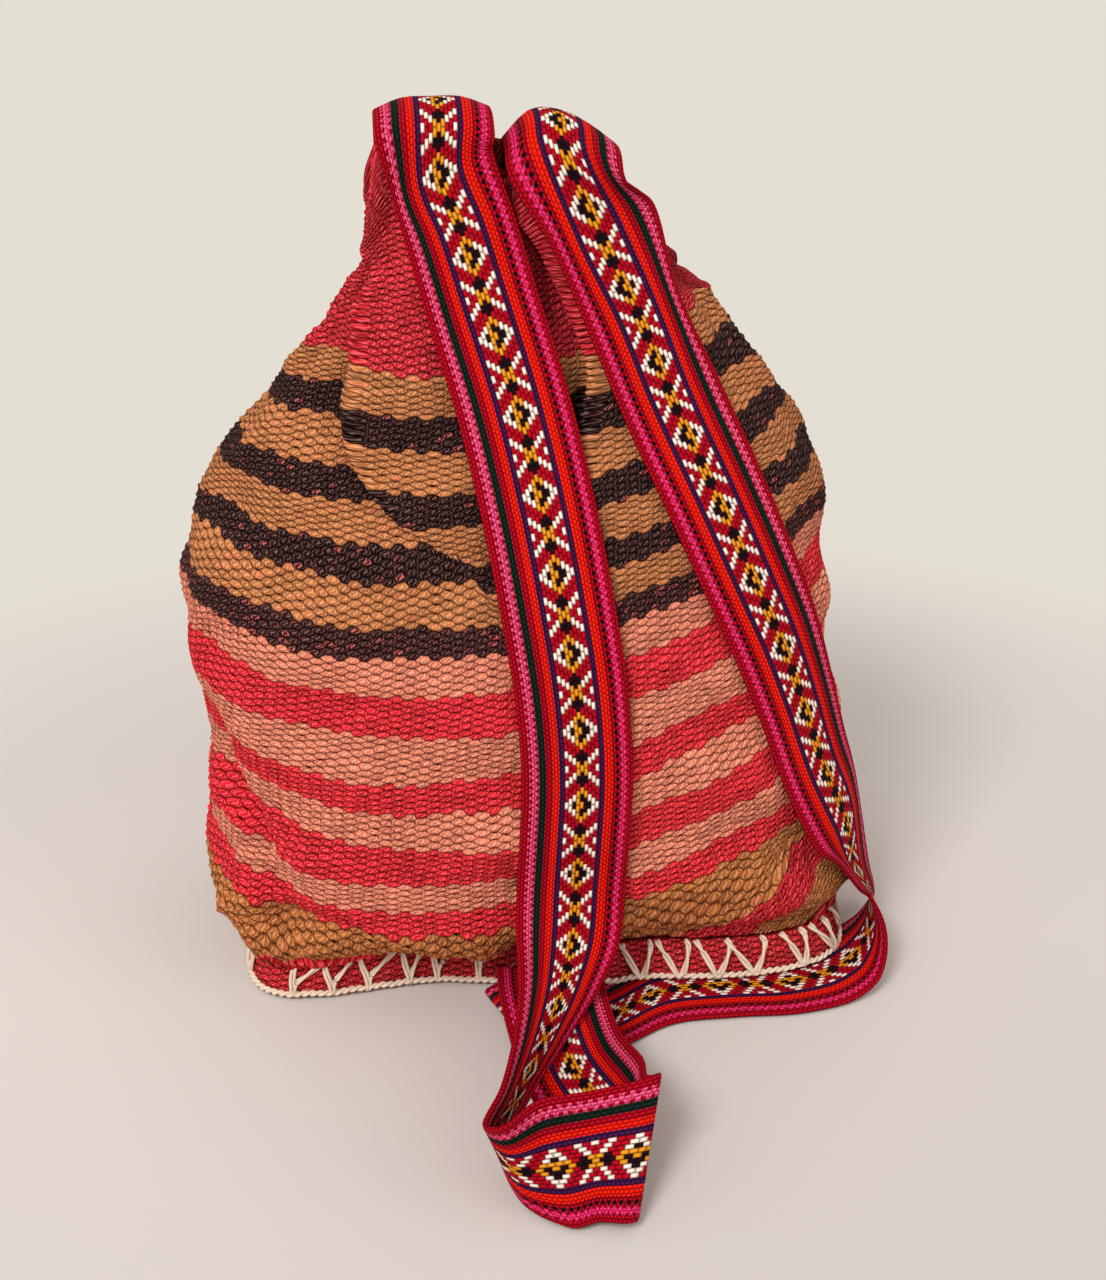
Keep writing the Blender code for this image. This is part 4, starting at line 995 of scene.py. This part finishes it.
def rung(green, pink, follow=0.0):
    """Points across the band from its green edge to its pink edge."""
    green, pink = np.array(green, float), np.array(pink, float)
    points = [green + (pink - green) * k / (ACROSS - 1) for k in range(ACROSS)]
    if follow:
        points = [point + (on_cloth(point, STAND) - point) * follow for point in points]
    return np.array(points)


def strap_rungs(stations, green_side):
    """Rungs of a strap that lies on the cloth, its stations in the order that the band runs."""
    centres = [front_point(share, x, STAND) for share, x in stations]
    rungs = []
    for i, centre in enumerate(centres):
        along = centres[min(i + 1, len(centres) - 1)] - centres[max(i - 1, 0)]
        near = on_cloth(centre + np.array((0.004, 0.0, 0.0)), STAND) - centre
        near -= along * (near @ along) / (along @ along)
        half = near / np.linalg.norm(near) * green_side * BAND_WIDTH / 2
        rungs.append(rung(centre + half, centre - half, follow=0.85))
    return rungs


# %% Rungs over a peak and inside the mouth
def peak_rungs(centre_x, green_side):
    """Rungs over a peak, from its front to its rear."""
    _, middle, _, half, _ = section(RING_TOP * BAG_HEIGHT)
    rungs = []
    for angle in (15, 50, 90, 130, 165):
        c, s = math.cos(math.radians(angle)), math.sin(math.radians(angle))
        points = []
        for k in range(ACROSS):
            # the stiff band lies on the highest of a few spots close by
            x = centre_x + green_side * BAND_WIDTH * (0.5 - k / (ACROSS - 1))
            spots = [x + BAND_WIDTH * near for near in (-0.125, -0.06, 0.0, 0.06, 0.125)]
            crest = max(float(top_edge(spot)) for spot in spots if abs(spot - centre_x) < 0.501 * BAND_WIDTH)
            points.append((x, middle - (half + STAND) * c, crest + (PEAK_ROUND + STAND) * s))
        rungs.append((np.array(points), 1))
    return rungs


def rear_rung(share, centre_x, green_side):
    """A rung lying down the cloth's far side, where the stiff band bends little across its width."""
    spots = [(centre_x + BAND_WIDTH * near) / HALF_WIDTH for near in (-0.5, 0.0, 0.5)]
    y = max(front_point(share, spot, STAND + 0.0010, rear=True)[1] for spot in spots)
    offs = [0.5 - k / (ACROSS - 1) for k in range(ACROSS)]
    return np.array([(centre_x + green_side * BAND_WIDTH * off, y - 0.006 * off * off, share * BAG_HEIGHT)
                     for off in offs])


def hidden_rungs(from_x, to_x):
    """The band's run inside the gathered mouth: it turns edge-on, dips and comes up again."""
    entry, deep, drop = 0.021, 0.008, 0.165 * BAG_HEIGHT
    radius = (to_x - from_x) / 2
    high = 0.862 * BAG_HEIGHT
    # how far the band has turned edge-on, how far it has gone down, and its y
    down = [(turn, depth, entry + (deep - entry) * depth)
            for turn, depth in ((0.0, 0.0), (0.0, 0.4), (0.35, 0.65), (0.75, 0.85), (1.0, 1.0))]
    rungs = [(from_x, y, high - drop * depth, turn) for turn, depth, y in down]
    for angle in (0.25, 0.5, 0.75):
        rungs.append((from_x + radius * (1 - math.cos(angle * math.pi)), deep,
                      high - drop - radius * math.sin(angle * math.pi), 1.0))
    rungs += [(to_x, y, high - drop * depth, 2.0 - turn) for turn, depth, y in reversed(down)]
    made = []
    for x, y, z, turn in rungs:
        angle = turn * math.pi / 2
        half = np.array((-math.cos(angle), -math.sin(angle), 0.0)) * BAND_WIDTH / 2
        centre = np.array((x, y, z))
        made.append(rung(centre + half, centre - half))
    return made


# %% The band's rungs off the cloth
# The green edge, the pink edge and the number of steps to the next rung. The first two tables give x,
# how far in front of the base, and z. From the end sewn on, out under the left strap to the fold:
SEWN_RUN = (
    ((0.026, 0.032, 0.0270), (-0.029, 0.038, 0.0275), 3),
    ((0.028, 0.062, 0.0290), (-0.020, 0.086, 0.0120), 3),
    ((0.033, 0.099, 0.0430), (0.002, 0.131, 0.0065), 2),
    ((0.0335, 0.116, 0.0480), (0.0160, 0.157, 0.0020), 1),
    ((0.0370, 0.1185, 0.0515), (0.0205, 0.1610, 0.0035), 1),
    ((0.0345, 0.1205, 0.0520), (0.0180, 0.1630, 0.0050), 2),
)
# The wide run that faces out, the turn at its left, and up to the left strap:
FRONT_RUN = (
    ((0.005, 0.122, 0.0450), (0.004, 0.161, 0.0040), 2),
    ((-0.021, 0.134, 0.0500), (-0.010, 0.161, ON_FLOOR), 2),
    ((-0.037, 0.156, 0.0550), (-0.028, 0.147, ON_FLOOR), 2),
    ((-0.045, 0.154, 0.0520), (-0.035, 0.125, 0.0040), 2),
    ((-0.036, 0.131, 0.0540), (-0.021, 0.094, 0.0140), 3),
    ((-0.028, 0.100, 0.0560), (0.000, 0.066, 0.0260), 3),
    ((-0.022, 0.062, 0.0600), (0.020, 0.038, 0.0350), 3),
    ((-0.020, 0.026, 0.0640), (0.034, 0.0175, 0.0500), 2),
)
# As plain places: round the lower right corner, and flat along the floor with the green edge under
# the lip:
CORNER_RUN = (
    ((0.1857, -0.0490, 0.0417), (0.1562, -0.0888, 0.0680), 1),
    ((0.1930, -0.0400, 0.0201), (0.1705, -0.0832, 0.0476), 1),
    ((0.1958, -0.0316, 0.0040), (0.1812, -0.0758, 0.0343), 1),
    ((0.1900, -0.0369, ON_FLOOR), (0.1838, -0.0836, 0.0300), 1),
    ((0.1822, -0.0449, ON_FLOOR), (0.1840, -0.0945, 0.0245), 1),
    ((0.1728, -0.0516, ON_FLOOR), (0.1818, -0.1035, 0.0170), 1),
    ((0.1600, -0.0590, ON_FLOOR), (0.1765, -0.1112, 0.0085), 1),
    ((0.1450, -0.0650, ON_FLOOR), (0.1650, -0.1172, 0.0030), 2),
    ((0.120, -0.070, ON_FLOOR), (0.134, -0.1245, ON_FLOOR), 2),
    ((0.090, -0.068, ON_FLOOR), (0.095, -0.1240, ON_FLOOR), 2),
    ((0.058, -0.070, ON_FLOOR), (0.061, -0.1260, ON_FLOOR), 2),
    ((0.034, -0.085, ON_FLOOR), (0.034, -0.1410, 0.0022), 2),
)
# From the base's front again: the curl at the left and back to the end that is sewn on:
LAST_CURL = (
    ((0.008, 0.0010, 0.0020), (0.012, 0.056, 0.0060), 2),
    ((-0.020, 0.0010, 0.0020), (-0.006, 0.048, 0.0125), 1),
    ((-0.031, 0.0010, 0.0025), (-0.016, 0.048, 0.0130), 1),
    ((-0.034, 0.0010, 0.0062), (-0.019, 0.049, 0.0165), 1),
    ((-0.030, 0.0010, 0.0100), (-0.015, 0.049, 0.0200), 1),
    ((-0.018, 0.0010, 0.0118), (-0.004, 0.050, 0.0190), 2),
    ((0.014, 0.0010, 0.0120), (0.020, 0.050, 0.0185), 0),
)


def free(green, pink):
    """A rung off the cloth, from x, the distance in front of the base, and z."""
    ends = [np.array((x, front_line(x) - 0.001 - y, z)) for x, y, z in (green, pink)]
    middle, half = (ends[0] + ends[1]) / 2, (ends[0] - ends[1]) / 2
    middle[2] += max(0.0, ON_FLOOR - min((middle + half)[2], (middle - half)[2]))
    return rung(middle + half, middle - half)


def sewn_place(x):
    """The sewn end's edge at x, which stays close to the lip."""
    return x, SEWN_OUT - 0.002 - (lip_line(x) - front_line(x)), SEWN_UP


# %% The band's whole route
def band_route():
    """Every rung of the band in order, each with the number of steps to the next."""
    left_x = PEAKS_MIDDLE * HALF_WIDTH - (BAND_WIDTH + PEAK_GAP) / 2
    right_x = left_x + BAND_WIDTH + PEAK_GAP
    path = [(free(sewn_place(BAND_WIDTH / 2), sewn_place(-BAND_WIDTH / 2)), 2)]
    path += [(free(green, pink), steps) for green, pink, steps in SEWN_RUN + FRONT_RUN]
    path += [(points, 3) for points in strap_rungs(LEFT_STRAP[::-1], -1)]
    # over the left peak, through the mouth, over the right peak
    path += peak_rungs(left_x, -1)
    path += [(rear_rung(0.945, left_x, -1), 2), (rear_rung(0.905, left_x, -1), 2)]
    path += [(points, 3) for points in hidden_rungs(left_x, right_x + 0.004)]
    path += [(rear_rung(0.895, right_x + 0.004, 1), 2), (rear_rung(0.925, right_x + 0.002, 1), 2)]
    path += peak_rungs(right_x, 1)[::-1]
    path[-1] = (path[-1][0], 3)
    path += [(points, 3) for points in strap_rungs(RIGHT_STRAP[::-1], 1)]
    path += [(rung(green, pink), steps) for green, pink, steps in CORNER_RUN]
    path += [(free(green, pink), steps) for green, pink, steps in LAST_CURL]
    return path


# %% Smooth threads through the rungs
FINER = 4                # mesh rungs for each step of the route


def threads(path):
    """Rungs on smooth threads through the route's rungs."""
    keys = np.array([points for points, _ in path])
    steps = [count for _, count in path]
    centres = keys.mean(axis=1)
    spans = np.maximum(np.linalg.norm(np.diff(centres, axis=0), axis=1), 1e-5)
    slopes = np.zeros_like(keys)
    for i in range(1, len(keys) - 1):
        before = (keys[i] - keys[i - 1]) / spans[i - 1]
        after = (keys[i + 1] - keys[i]) / spans[i]
        slopes[i] = (before * spans[i] + after * spans[i - 1]) / (spans[i] + spans[i - 1])
    slopes[0] = (keys[1] - keys[0]) / spans[0]
    slopes[-1] = (keys[-1] - keys[-2]) / spans[-1]
    grid = []
    for i in range(len(keys) - 1):
        for k in range(steps[i] * FINER):
            grid.append(smooth_step(k / (steps[i] * FINER), spans[i], keys[i], keys[i + 1],
                                    slopes[i], slopes[i + 1]))
    grid.append(keys[-1])
    return np.array(grid)


# %% Band mesh
EDGE_ROUND = 0.0016      # how far in from an edge the band reaches its full thickness
shares = np.concatenate(([0.0, 0.012, 0.035], np.linspace(0.08, 0.92, 11), [0.965, 0.988, 1.0]))
grid = threads(band_route())
centre_line = grid.mean(axis=1)
band_reach = reach_along(np.linalg.norm(np.diff(centre_line, axis=0), axis=1))
wide = np.zeros((len(grid), len(shares), 3))
knots = np.linspace(0, 1, ACROSS)
for i, points in enumerate(grid):
    table = np.column_stack((knots, points))
    for axis in range(3):
        wide[i, :, axis] = curve_at(table, shares, axis + 1)
normal = grid_normals(wide)
from_edge = np.minimum(shares, 1 - shares) * BAND_WIDTH
swell = np.clip(from_edge / EDGE_ROUND, 0, 1)
half_thick = BAND_THICK / 2 * np.sqrt(1 - (1 - swell) ** 2) + 0.00005
upper = wide + normal * half_thick[None, :, None]
lower = wide - normal * half_thick[None, :, None]
loop_points = np.concatenate((upper, lower[:, ::-1], upper[:, :1]), axis=1)
loop_shares = np.concatenate((shares, shares[::-1], shares[:1]))
band_uv = np.stack(np.broadcast_arrays(loop_shares[None, :], band_reach[:, None]), axis=2)
strap_band = from_loom("drawstring_band", loop_points, band_uv)
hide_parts("strap_band")
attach(strap_band, "root")

# %% [markdown]
# ## The band's pattern
# The band is warp-faced: its colours run along it as columns of small beads. Down the middle goes a
# pick-up pattern of floats, each one column wide and two steps long, with the columns staggered by
# one step. In such a lattice the traditional figure is simple to state. Counted from a diamond's
# middle, the floats whose column and row numbers add up to four form its outline. Counted from midway
# between two diamonds, those whose numbers are equal form a cross.

# %% Band colours
BAND_TONES = {
    "crimson": rgb(176, 4, 28), "deep": rgb(24, 30, 26), "orange": rgb(250, 30, 10),
    "purple": rgb(66, 22, 70), "green": rgb(16, 44, 32), "black": rgb(30, 10, 18),
    "white": rgb(248, 222, 206), "yellow": rgb(226, 142, 30), "pink": rgb(252, 84, 132),
    "hot_pink": rgb(255, 52, 118),
}
FIELD_FROM, FIELD_TO = 0.385, 0.69       # the pick-up pattern, as shares of the band's width
# Where each plain stripe starts, from the green edge to the pink edge
BAND_STRIPES = (
    (0.0, "crimson"), (0.155, "deep"), (0.215, "crimson"), (0.275, "orange"), (0.335, "purple"),
    (FIELD_FROM, "crimson"), (FIELD_TO, "purple"), (0.737, "orange"), (0.805, "crimson"),
)
# Chains of pink beads and rows of dark dots: start and end, and for the dots how many columns
BEAD_CHAINS = ((0.070, 0.155, "pink"), (0.875, 0.945, "hot_pink"))
DOT_ROWS = ((0.155, 0.215, 2, "green"), (0.838, 0.872, 1, "black"))
FIELD_COLUMNS = 9
STEP = 0.00195           # one step of the float lattice along the band
BAND_COLUMNS = 34.0      # columns of small beads across the whole band
BEAD_LENGTH = 0.0025     # their length along the band
BAND_BUMP = 0.0009       # depth of the shading between them


# %% Floats of the pattern
def is_about(m, value, target):
    """1 where a whole number is the target."""
    return m("COMPARE", value, target, 0.25)


def float_lattice(m, across, along):
    """Where a point lies in its float, and where black, white and yellow floats lie, in that order."""
    lattice = m("DIVIDE", m("SUBTRACT", across, FIELD_FROM), FIELD_TO - FIELD_FROM)
    lattice = m("MULTIPLY", lattice, float(FIELD_COLUMNS))
    # far counts columns from the middle one, and w counts steps from midway between two diamonds
    i = m("SUBTRACT", m("FLOOR", lattice), float(FIELD_COLUMNS // 2))
    far = m("ABSOLUTE", i)
    odd = m("MODULO", far, 2.0)
    lifted = m("DIVIDE", m("ADD", m("ADD", m("DIVIDE", along, STEP), odd), 1.0), 2.0)
    float_row = m("SUBTRACT", m("MULTIPLY", m("FLOOR", lifted), 2.0), odd)
    w = m("ABSOLUTE", m("SUBTRACT", m("FLOORED_MODULO", float_row, 20.0), 10.0))
    diamond = m("SUBTRACT", m("ADD", far, 10.0), w)
    cross = m("SUBTRACT", w, far)
    side_dash = m("MULTIPLY", is_about(m, far, 4.0), is_about(m, w, 0.0))
    white = m("MAXIMUM", is_about(m, diamond, 4.0), is_about(m, cross, 0.0))
    white = m("MAXIMUM", white, side_dash)
    near_middle = m("LESS_THAN", far, 1.5)
    black = m("MAXIMUM", m("LESS_THAN", diamond, 3.5), m("MULTIPLY", near_middle, between(m, w, 1.5, 4.5)))
    centre = m("MULTIPLY", is_about(m, far, 0.0), is_about(m, w, 10.0))
    beside = m("MULTIPLY", is_about(m, i, -1.0), is_about(m, w, 9.0))
    yellow = m("MAXIMUM", m("MULTIPLY", white, near_middle), m("MAXIMUM", centre, beside))
    return m("FRACT", lattice), m("FRACT", lifted), (("black", black), ("white", white), ("yellow", yellow))


# %% Band material
def band_material():
    """Warp-faced band: bead columns, chains, dots and the diamond field, with painted shade round each bead.
    """
    made, tree, shader = new_material("woven_band", roughness=0.85, sheen=0.0, gloss=0.06)
    m = maths_in(tree)
    uv = add_node(tree, "ShaderNodeUVMap", uv_map="UVMap").outputs[0]
    across, along, _ = add_node(tree, "ShaderNodeSeparateXYZ", {0: uv}).outputs
    ramp = add_node(tree, "ShaderNodeValToRGB", {0: across})
    ramp.color_ramp.interpolation = "CONSTANT"
    for k, (start, tone) in enumerate(BAND_STRIPES):
        stop = ramp.color_ramp.elements[k] if k < 2 else ramp.color_ramp.elements.new(start)
        stop.position = start
        stop.color = BAND_TONES[tone]

    column = m("MULTIPLY", across, BAND_COLUMNS)
    every_other = m("MULTIPLY", m("MODULO", m("FLOOR", column), 2.0), 0.5)
    plain_u, plain_v = m("FRACT", column), m("FRACT", m("ADD", m("DIVIDE", along, BEAD_LENGTH), every_other))
    field_u, field_v, floats = float_lattice(m, across, along)
    in_field = between(m, across, FIELD_FROM, FIELD_TO)
    colour = ramp.outputs[0]
    for tone, lit in floats:
        colour = blend_colour(tree, m("MULTIPLY", in_field, lit), colour, BAND_TONES[tone])

    # in a chain the middle column is all pink, and the outer two take turns; dots take turns too
    beat = m("FLOOR", m("DIVIDE", along, STEP))

    def narrow(start, end, columns):
        """Column number and mask of a narrow stripe."""
        local = m("MULTIPLY", m("DIVIDE", m("SUBTRACT", across, start), end - start), float(columns))
        return m("FLOOR", local), between(m, across, start, end)

    for start, end, tone in BEAD_CHAINS:
        number, mask = narrow(start, end, 3)
        even = m("MODULO", beat, 2.0)
        left_lit = m("MULTIPLY", is_about(m, number, 0.0), is_about(m, even, 0.0))
        right_lit = m("MULTIPLY", is_about(m, number, 2.0), is_about(m, even, 1.0))
        lit = m("MAXIMUM", is_about(m, number, 1.0), m("MAXIMUM", left_lit, right_lit))
        colour = blend_colour(tree, m("MULTIPLY", mask, lit), colour, BAND_TONES[tone])
    for start, end, columns, tone in DOT_ROWS:
        number, mask = narrow(start, end, columns)
        lit = is_about(m, m("MODULO", m("ADD", beat, number), 2.0), 0.0)
        colour = blend_colour(tree, m("MULTIPLY", mask, lit), colour, BAND_TONES[tone])

    def pick(plain, field):
        """Plain outside the field, and field in it."""
        return m("ADD", m("MULTIPLY", m("SUBTRACT", 1.0, in_field), plain), m("MULTIPLY", in_field, field))

    side, rise = from_middle(m, pick(plain_u, field_u)), from_middle(m, pick(plain_v, field_v))
    pillow = m("POWER", m("MULTIPLY", m("SUBTRACT", 1.0, m("POWER", side, 2.2)),
                          m("SUBTRACT", 1.0, m("POWER", rise, 2.4))), 0.7, clamp=True)
    stretched = add_node(tree, "ShaderNodeMapping", {"Vector": uv, "Scale": (160.0, 500.0, 1.0)}).outputs[0]
    fibre = noise(tree, stretched, 1.0, 3.0)
    # painted shade: each bead and float is darkened towards its edges; the fibre and the noise are the
    # band's own uneven tone
    shade = vary(m, 0.26, 1.12, pillow)
    for low, high, share in ((0.78, 1.22, fibre), (0.84, 1.16, noise(tree, uv, 14.0, 2.0))):
        shade = m("MULTIPLY", shade, vary(m, low, high, share))
    finish_colour(tree, shader, colour, shade)
    finish_bump(tree, shader, m("ADD", pillow, m("MULTIPLY", fibre, 0.3)), BAND_BUMP)
    return made


put_on(strap_band, band_material())
print(len(BAND_TONES), "tones in the band")

# %% [markdown]
# ## Cream yarn
# Two plies of cream wool run round the foot of the lip, and stitches of the same wool go up its
# face in Y and V forms. Each ply is a thin tube laid about the yarn's line: along the rim the two
# wind round each other, which is what makes them read as yarn and not as wire, and in a stitch they
# lie almost side by side.

# %% Yarn helpers
def ply_tube(line, radius, ply_radius, turns_per_metre, start, sides=6):
    """One ply as a grid of rings, winding round a line; the last column repeats the first."""
    line = np.array(line)
    along = np.gradient(line, axis=0)
    along /= np.linalg.norm(along, axis=1, keepdims=True)
    out = np.cross(along, np.where(np.abs(along[:, 2:3]) > 0.8, [[1.0, 0.0, 0.0]], [[0.0, 0.0, 1.0]]))
    out /= np.linalg.norm(out, axis=1, keepdims=True)
    up = np.cross(out, along)
    turn = start + reach_along(np.linalg.norm(np.diff(line, axis=0), axis=1)) * turns_per_metre * 2 * np.pi
    centre = line + ply_radius * (np.cos(turn)[:, None] * out + np.sin(turn)[:, None] * up)
    rings = []
    for k in range(sides + 1):
        angle = 2 * np.pi * (k % sides) / sides
        rings.append(centre + radius * (math.cos(angle) * out + math.sin(angle) * up))
    return np.stack(rings, axis=1)


def refine(line, spacing):
    """A smooth line through points, evenly spaced."""
    line = np.array(line, float)
    reach = reach_along(np.linalg.norm(np.diff(line, axis=0), axis=1))
    at = np.linspace(0, reach[-1], max(4, int(reach[-1] / spacing)))
    table = np.column_stack((reach, line))
    return np.stack([curve_at(table, at, k + 1) for k in range(3)], axis=1)


def join_tubes(name, tubes):
    """Many tubes as one piece; a tube whose ends don't meet is closed with flat ends."""
    verts, faces = [], []
    for rings in tubes:
        count, loop, base = len(rings), rings.shape[1] - 1, len(verts)
        verts += rings[:, :-1].reshape(-1, 3).tolist()
        for i in range(count - 1):
            for k in range(loop):
                a, b = base + i * loop + k, base + i * loop + (k + 1) % loop
                faces.append((a, b, b + loop, a + loop))
        if not np.allclose(rings[0], rings[-1]):
            faces.append(tuple(range(base, base + loop)))
            faces.append(tuple(range(base + (count - 1) * loop, base + count * loop)))
    mesh = bpy.data.meshes.new(name)
    mesh.from_pydata(verts, [], faces)
    piece = bpy.data.objects.new(name, mesh)
    bpy.context.scene.collection.objects.link(piece)
    work = bmesh.new()
    work.from_mesh(mesh)
    bmesh.ops.remove_doubles(work, verts=work.verts, dist=1e-6)
    bmesh.ops.recalc_face_normals(work, faces=work.faces)
    work.to_mesh(mesh)
    work.free()
    mesh.shade_smooth()
    print(name, sum(len(f.vertices) - 2 for f in mesh.polygons), "triangles")
    return piece


# %% Yarn material
YARN_BUMP = 0.0004


def yarn_material(name, tone, dark):
    """Fuzzy spun wool."""
    made, tree, shader = new_material(name, roughness=0.95, sheen=0.08)
    m = maths_in(tree)
    spot = add_node(tree, "ShaderNodeTexCoord").outputs["Object"]
    fibre = noise(tree, spot, 1500.0, 3.0)
    patch = noise(tree, spot, 90.0, 2.0)
    mix = m("ADD", m("MULTIPLY", fibre, 0.6), m("MULTIPLY", patch, 0.5), clamp=True)
    tree.links.new(blend_colour(tree, mix, dark, tone), shader.inputs["Base Color"])
    finish_bump(tree, shader, fibre, YARN_BUMP)
    return made


# %% Yarn round the rim
RIM_UP = 0.0027          # height of the yarn's middle line
RIM_OUT = 0.0014         # how far that line lies out from the lip's face
RIM_POINTS = 641         # points along it
RIM_LAY = 0.0085         # length of yarn in which its plies turn once
RIM_PLY, RIM_WIND = 0.00102, 0.00088     # radius of a ply, and of its winding
RIM_WOBBLE = 0.0006      # how unevenly it lies
girth = base_outline(float(lip_inset(RIM_UP)) - RIM_OUT, RIM_UP, RIM_POINTS)
wobble = RIM_WOBBLE * waves(np.linspace(0, 0.96, RIM_POINTS), np.zeros(RIM_POINTS), 31, 6, 0.02, 0.06)
wobble[-1] = wobble[0]
girth[:, 2] += np.abs(wobble)
rim_length = float(np.linalg.norm(np.diff(girth, axis=0), axis=1).sum())
turns = round(rim_length / RIM_LAY) / rim_length
yarn_parts = []
for start in (0.0, math.pi):
    rings = ply_tube(girth, RIM_PLY, RIM_WIND, turns, start)
    rings[-1] = rings[0]
    yarn_parts.append(rings)
print("rim yarn", round(rim_length, 3), "m")

# %% Stitches
# Distance along the front from its middle, in metres: the foot of a stitch and its two tops
FRONT_STITCHES = (
    (-0.1350, -0.1364, -0.1194), (-0.1137, -0.1213, -0.1039), (-0.0943, -0.1017, -0.0817),
    (-0.0714, -0.0776, -0.0661), (-0.0568, -0.0604, -0.0496), (-0.0340, -0.0352, -0.0310),
    (0.0550, 0.0462, 0.0622), (0.0763, 0.0671, 0.0834), (0.0963, 0.0892, 0.1069),
    (0.1169, 0.1068, 0.1270), (0.1464, 0.1394, 0.1514), (0.1712, 0.1587, 0.1692),
)
# Round the sides and the back the stitches follow each other from one end of the front to the other
MORE_FROM, MORE_TO = 0.190, rim_length - 0.158
STITCH_PLY, STITCH_WIND = 0.00098, 0.00090      # as for the rim
STITCH_TURNS = 22.0      # turns of the plies in a metre
STITCH_SPACING = 0.0012  # distance between two rings of a ply
LIP_STEPS = 1200         # steps in which the lip's outline is measured


def lip_point(along, share, stand):
    """A point on the lip's face: distance to the right of the front's middle, share of its height and
    stand-off."""
    z = LIP_HEIGHT * share
    row = base_outline(float(lip_inset(z)) - stand, z, LIP_STEPS + 1)
    at = (0.5 + along / rim_length) % 1.0 * LIP_STEPS
    return np.array([np.interp(at, range(LIP_STEPS + 1), row[:, k]) for k in range(3)])


# %% Lay the stitches
draw = random.Random(7)
stitches = list(FRONT_STITCHES)
spot = MORE_FROM
while spot < MORE_TO:
    spread = draw.uniform(0.007, 0.010)
    stitches.append((spot, spot - spread, spot + spread))
    spot += draw.uniform(0.019, 0.024)
for foot, left_top, right_top in stitches:
    split = draw.uniform(0.25, 0.45) if foot < 0 else draw.uniform(0.05, 0.2)
    # a Y shares its stem up to the split, and a V splits just above its foot
    for top, twist_start in ((left_top, 0.0), (right_top, 1.6)):
        knee = foot + (top - foot) * 0.12
        run = [lip_point(foot, 0.0022 / LIP_HEIGHT, 0.0016), lip_point(knee, split, 0.0016),
               lip_point((knee + top) / 2, (split + 0.9) / 2, 0.0017),
               lip_point(top, 0.93, 0.0015), lip_point(top, 1.0, -0.0005)]
        line = refine(run, STITCH_SPACING)
        for start in (0.0, math.pi):
            yarn_parts.append(ply_tube(line, STITCH_PLY, STITCH_WIND, STITCH_TURNS, start + twist_start, 5))
print(len(stitches), "stitches")

edge_yarn = join_tubes("cream_edge_yarn", yarn_parts)
put_on(edge_yarn, yarn_material("cream_yarn", rgb(245, 228, 205), rgb(205, 170, 145)))
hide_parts("edge_yarn")
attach(edge_yarn, "root")

# %% [markdown]
# ## The thread that holds the band
# The band's end is sewn to the base's front with a short row of stitches, which the left strap hides.
# A thread that goes to and fro between lip and band shows them from close by, so its line is a zigzag
# of seven points, and its two plies wind round each other as the rim's do.

# %% Anchor thread
# Radius of a ply, radius of its winding, and turns in a metre
THREAD_PLY, THREAD_WIND, THREAD_TURNS = 0.0004, 0.0003, 300.0
thread_points = []
for i in range(7):
    x = BAND_WIDTH / 8 * (i - 3)
    if i % 2:
        thread_points.append((x, lip_line(x) - 0.0012, SEWN_UP + 0.0010))
    else:
        thread_points.append((x, lip_line(x) - SEWN_OUT - 0.0040, SEWN_UP + 0.0035))
thread_line = refine(thread_points, 0.0010)
print("thread", round(float(np.linalg.norm(np.diff(thread_line, axis=0), axis=1).sum()), 3), "m")
anchor = join_tubes("anchor_thread_twist", [ply_tube(thread_line, THREAD_PLY, THREAD_WIND, THREAD_TURNS,
                                                     start, 5) for start in (0.0, math.pi)])
put_on(anchor, yarn_material("thread", rgb(150, 18, 44), rgb(96, 8, 26)))
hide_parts("anchor_thread")
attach(anchor, "root")
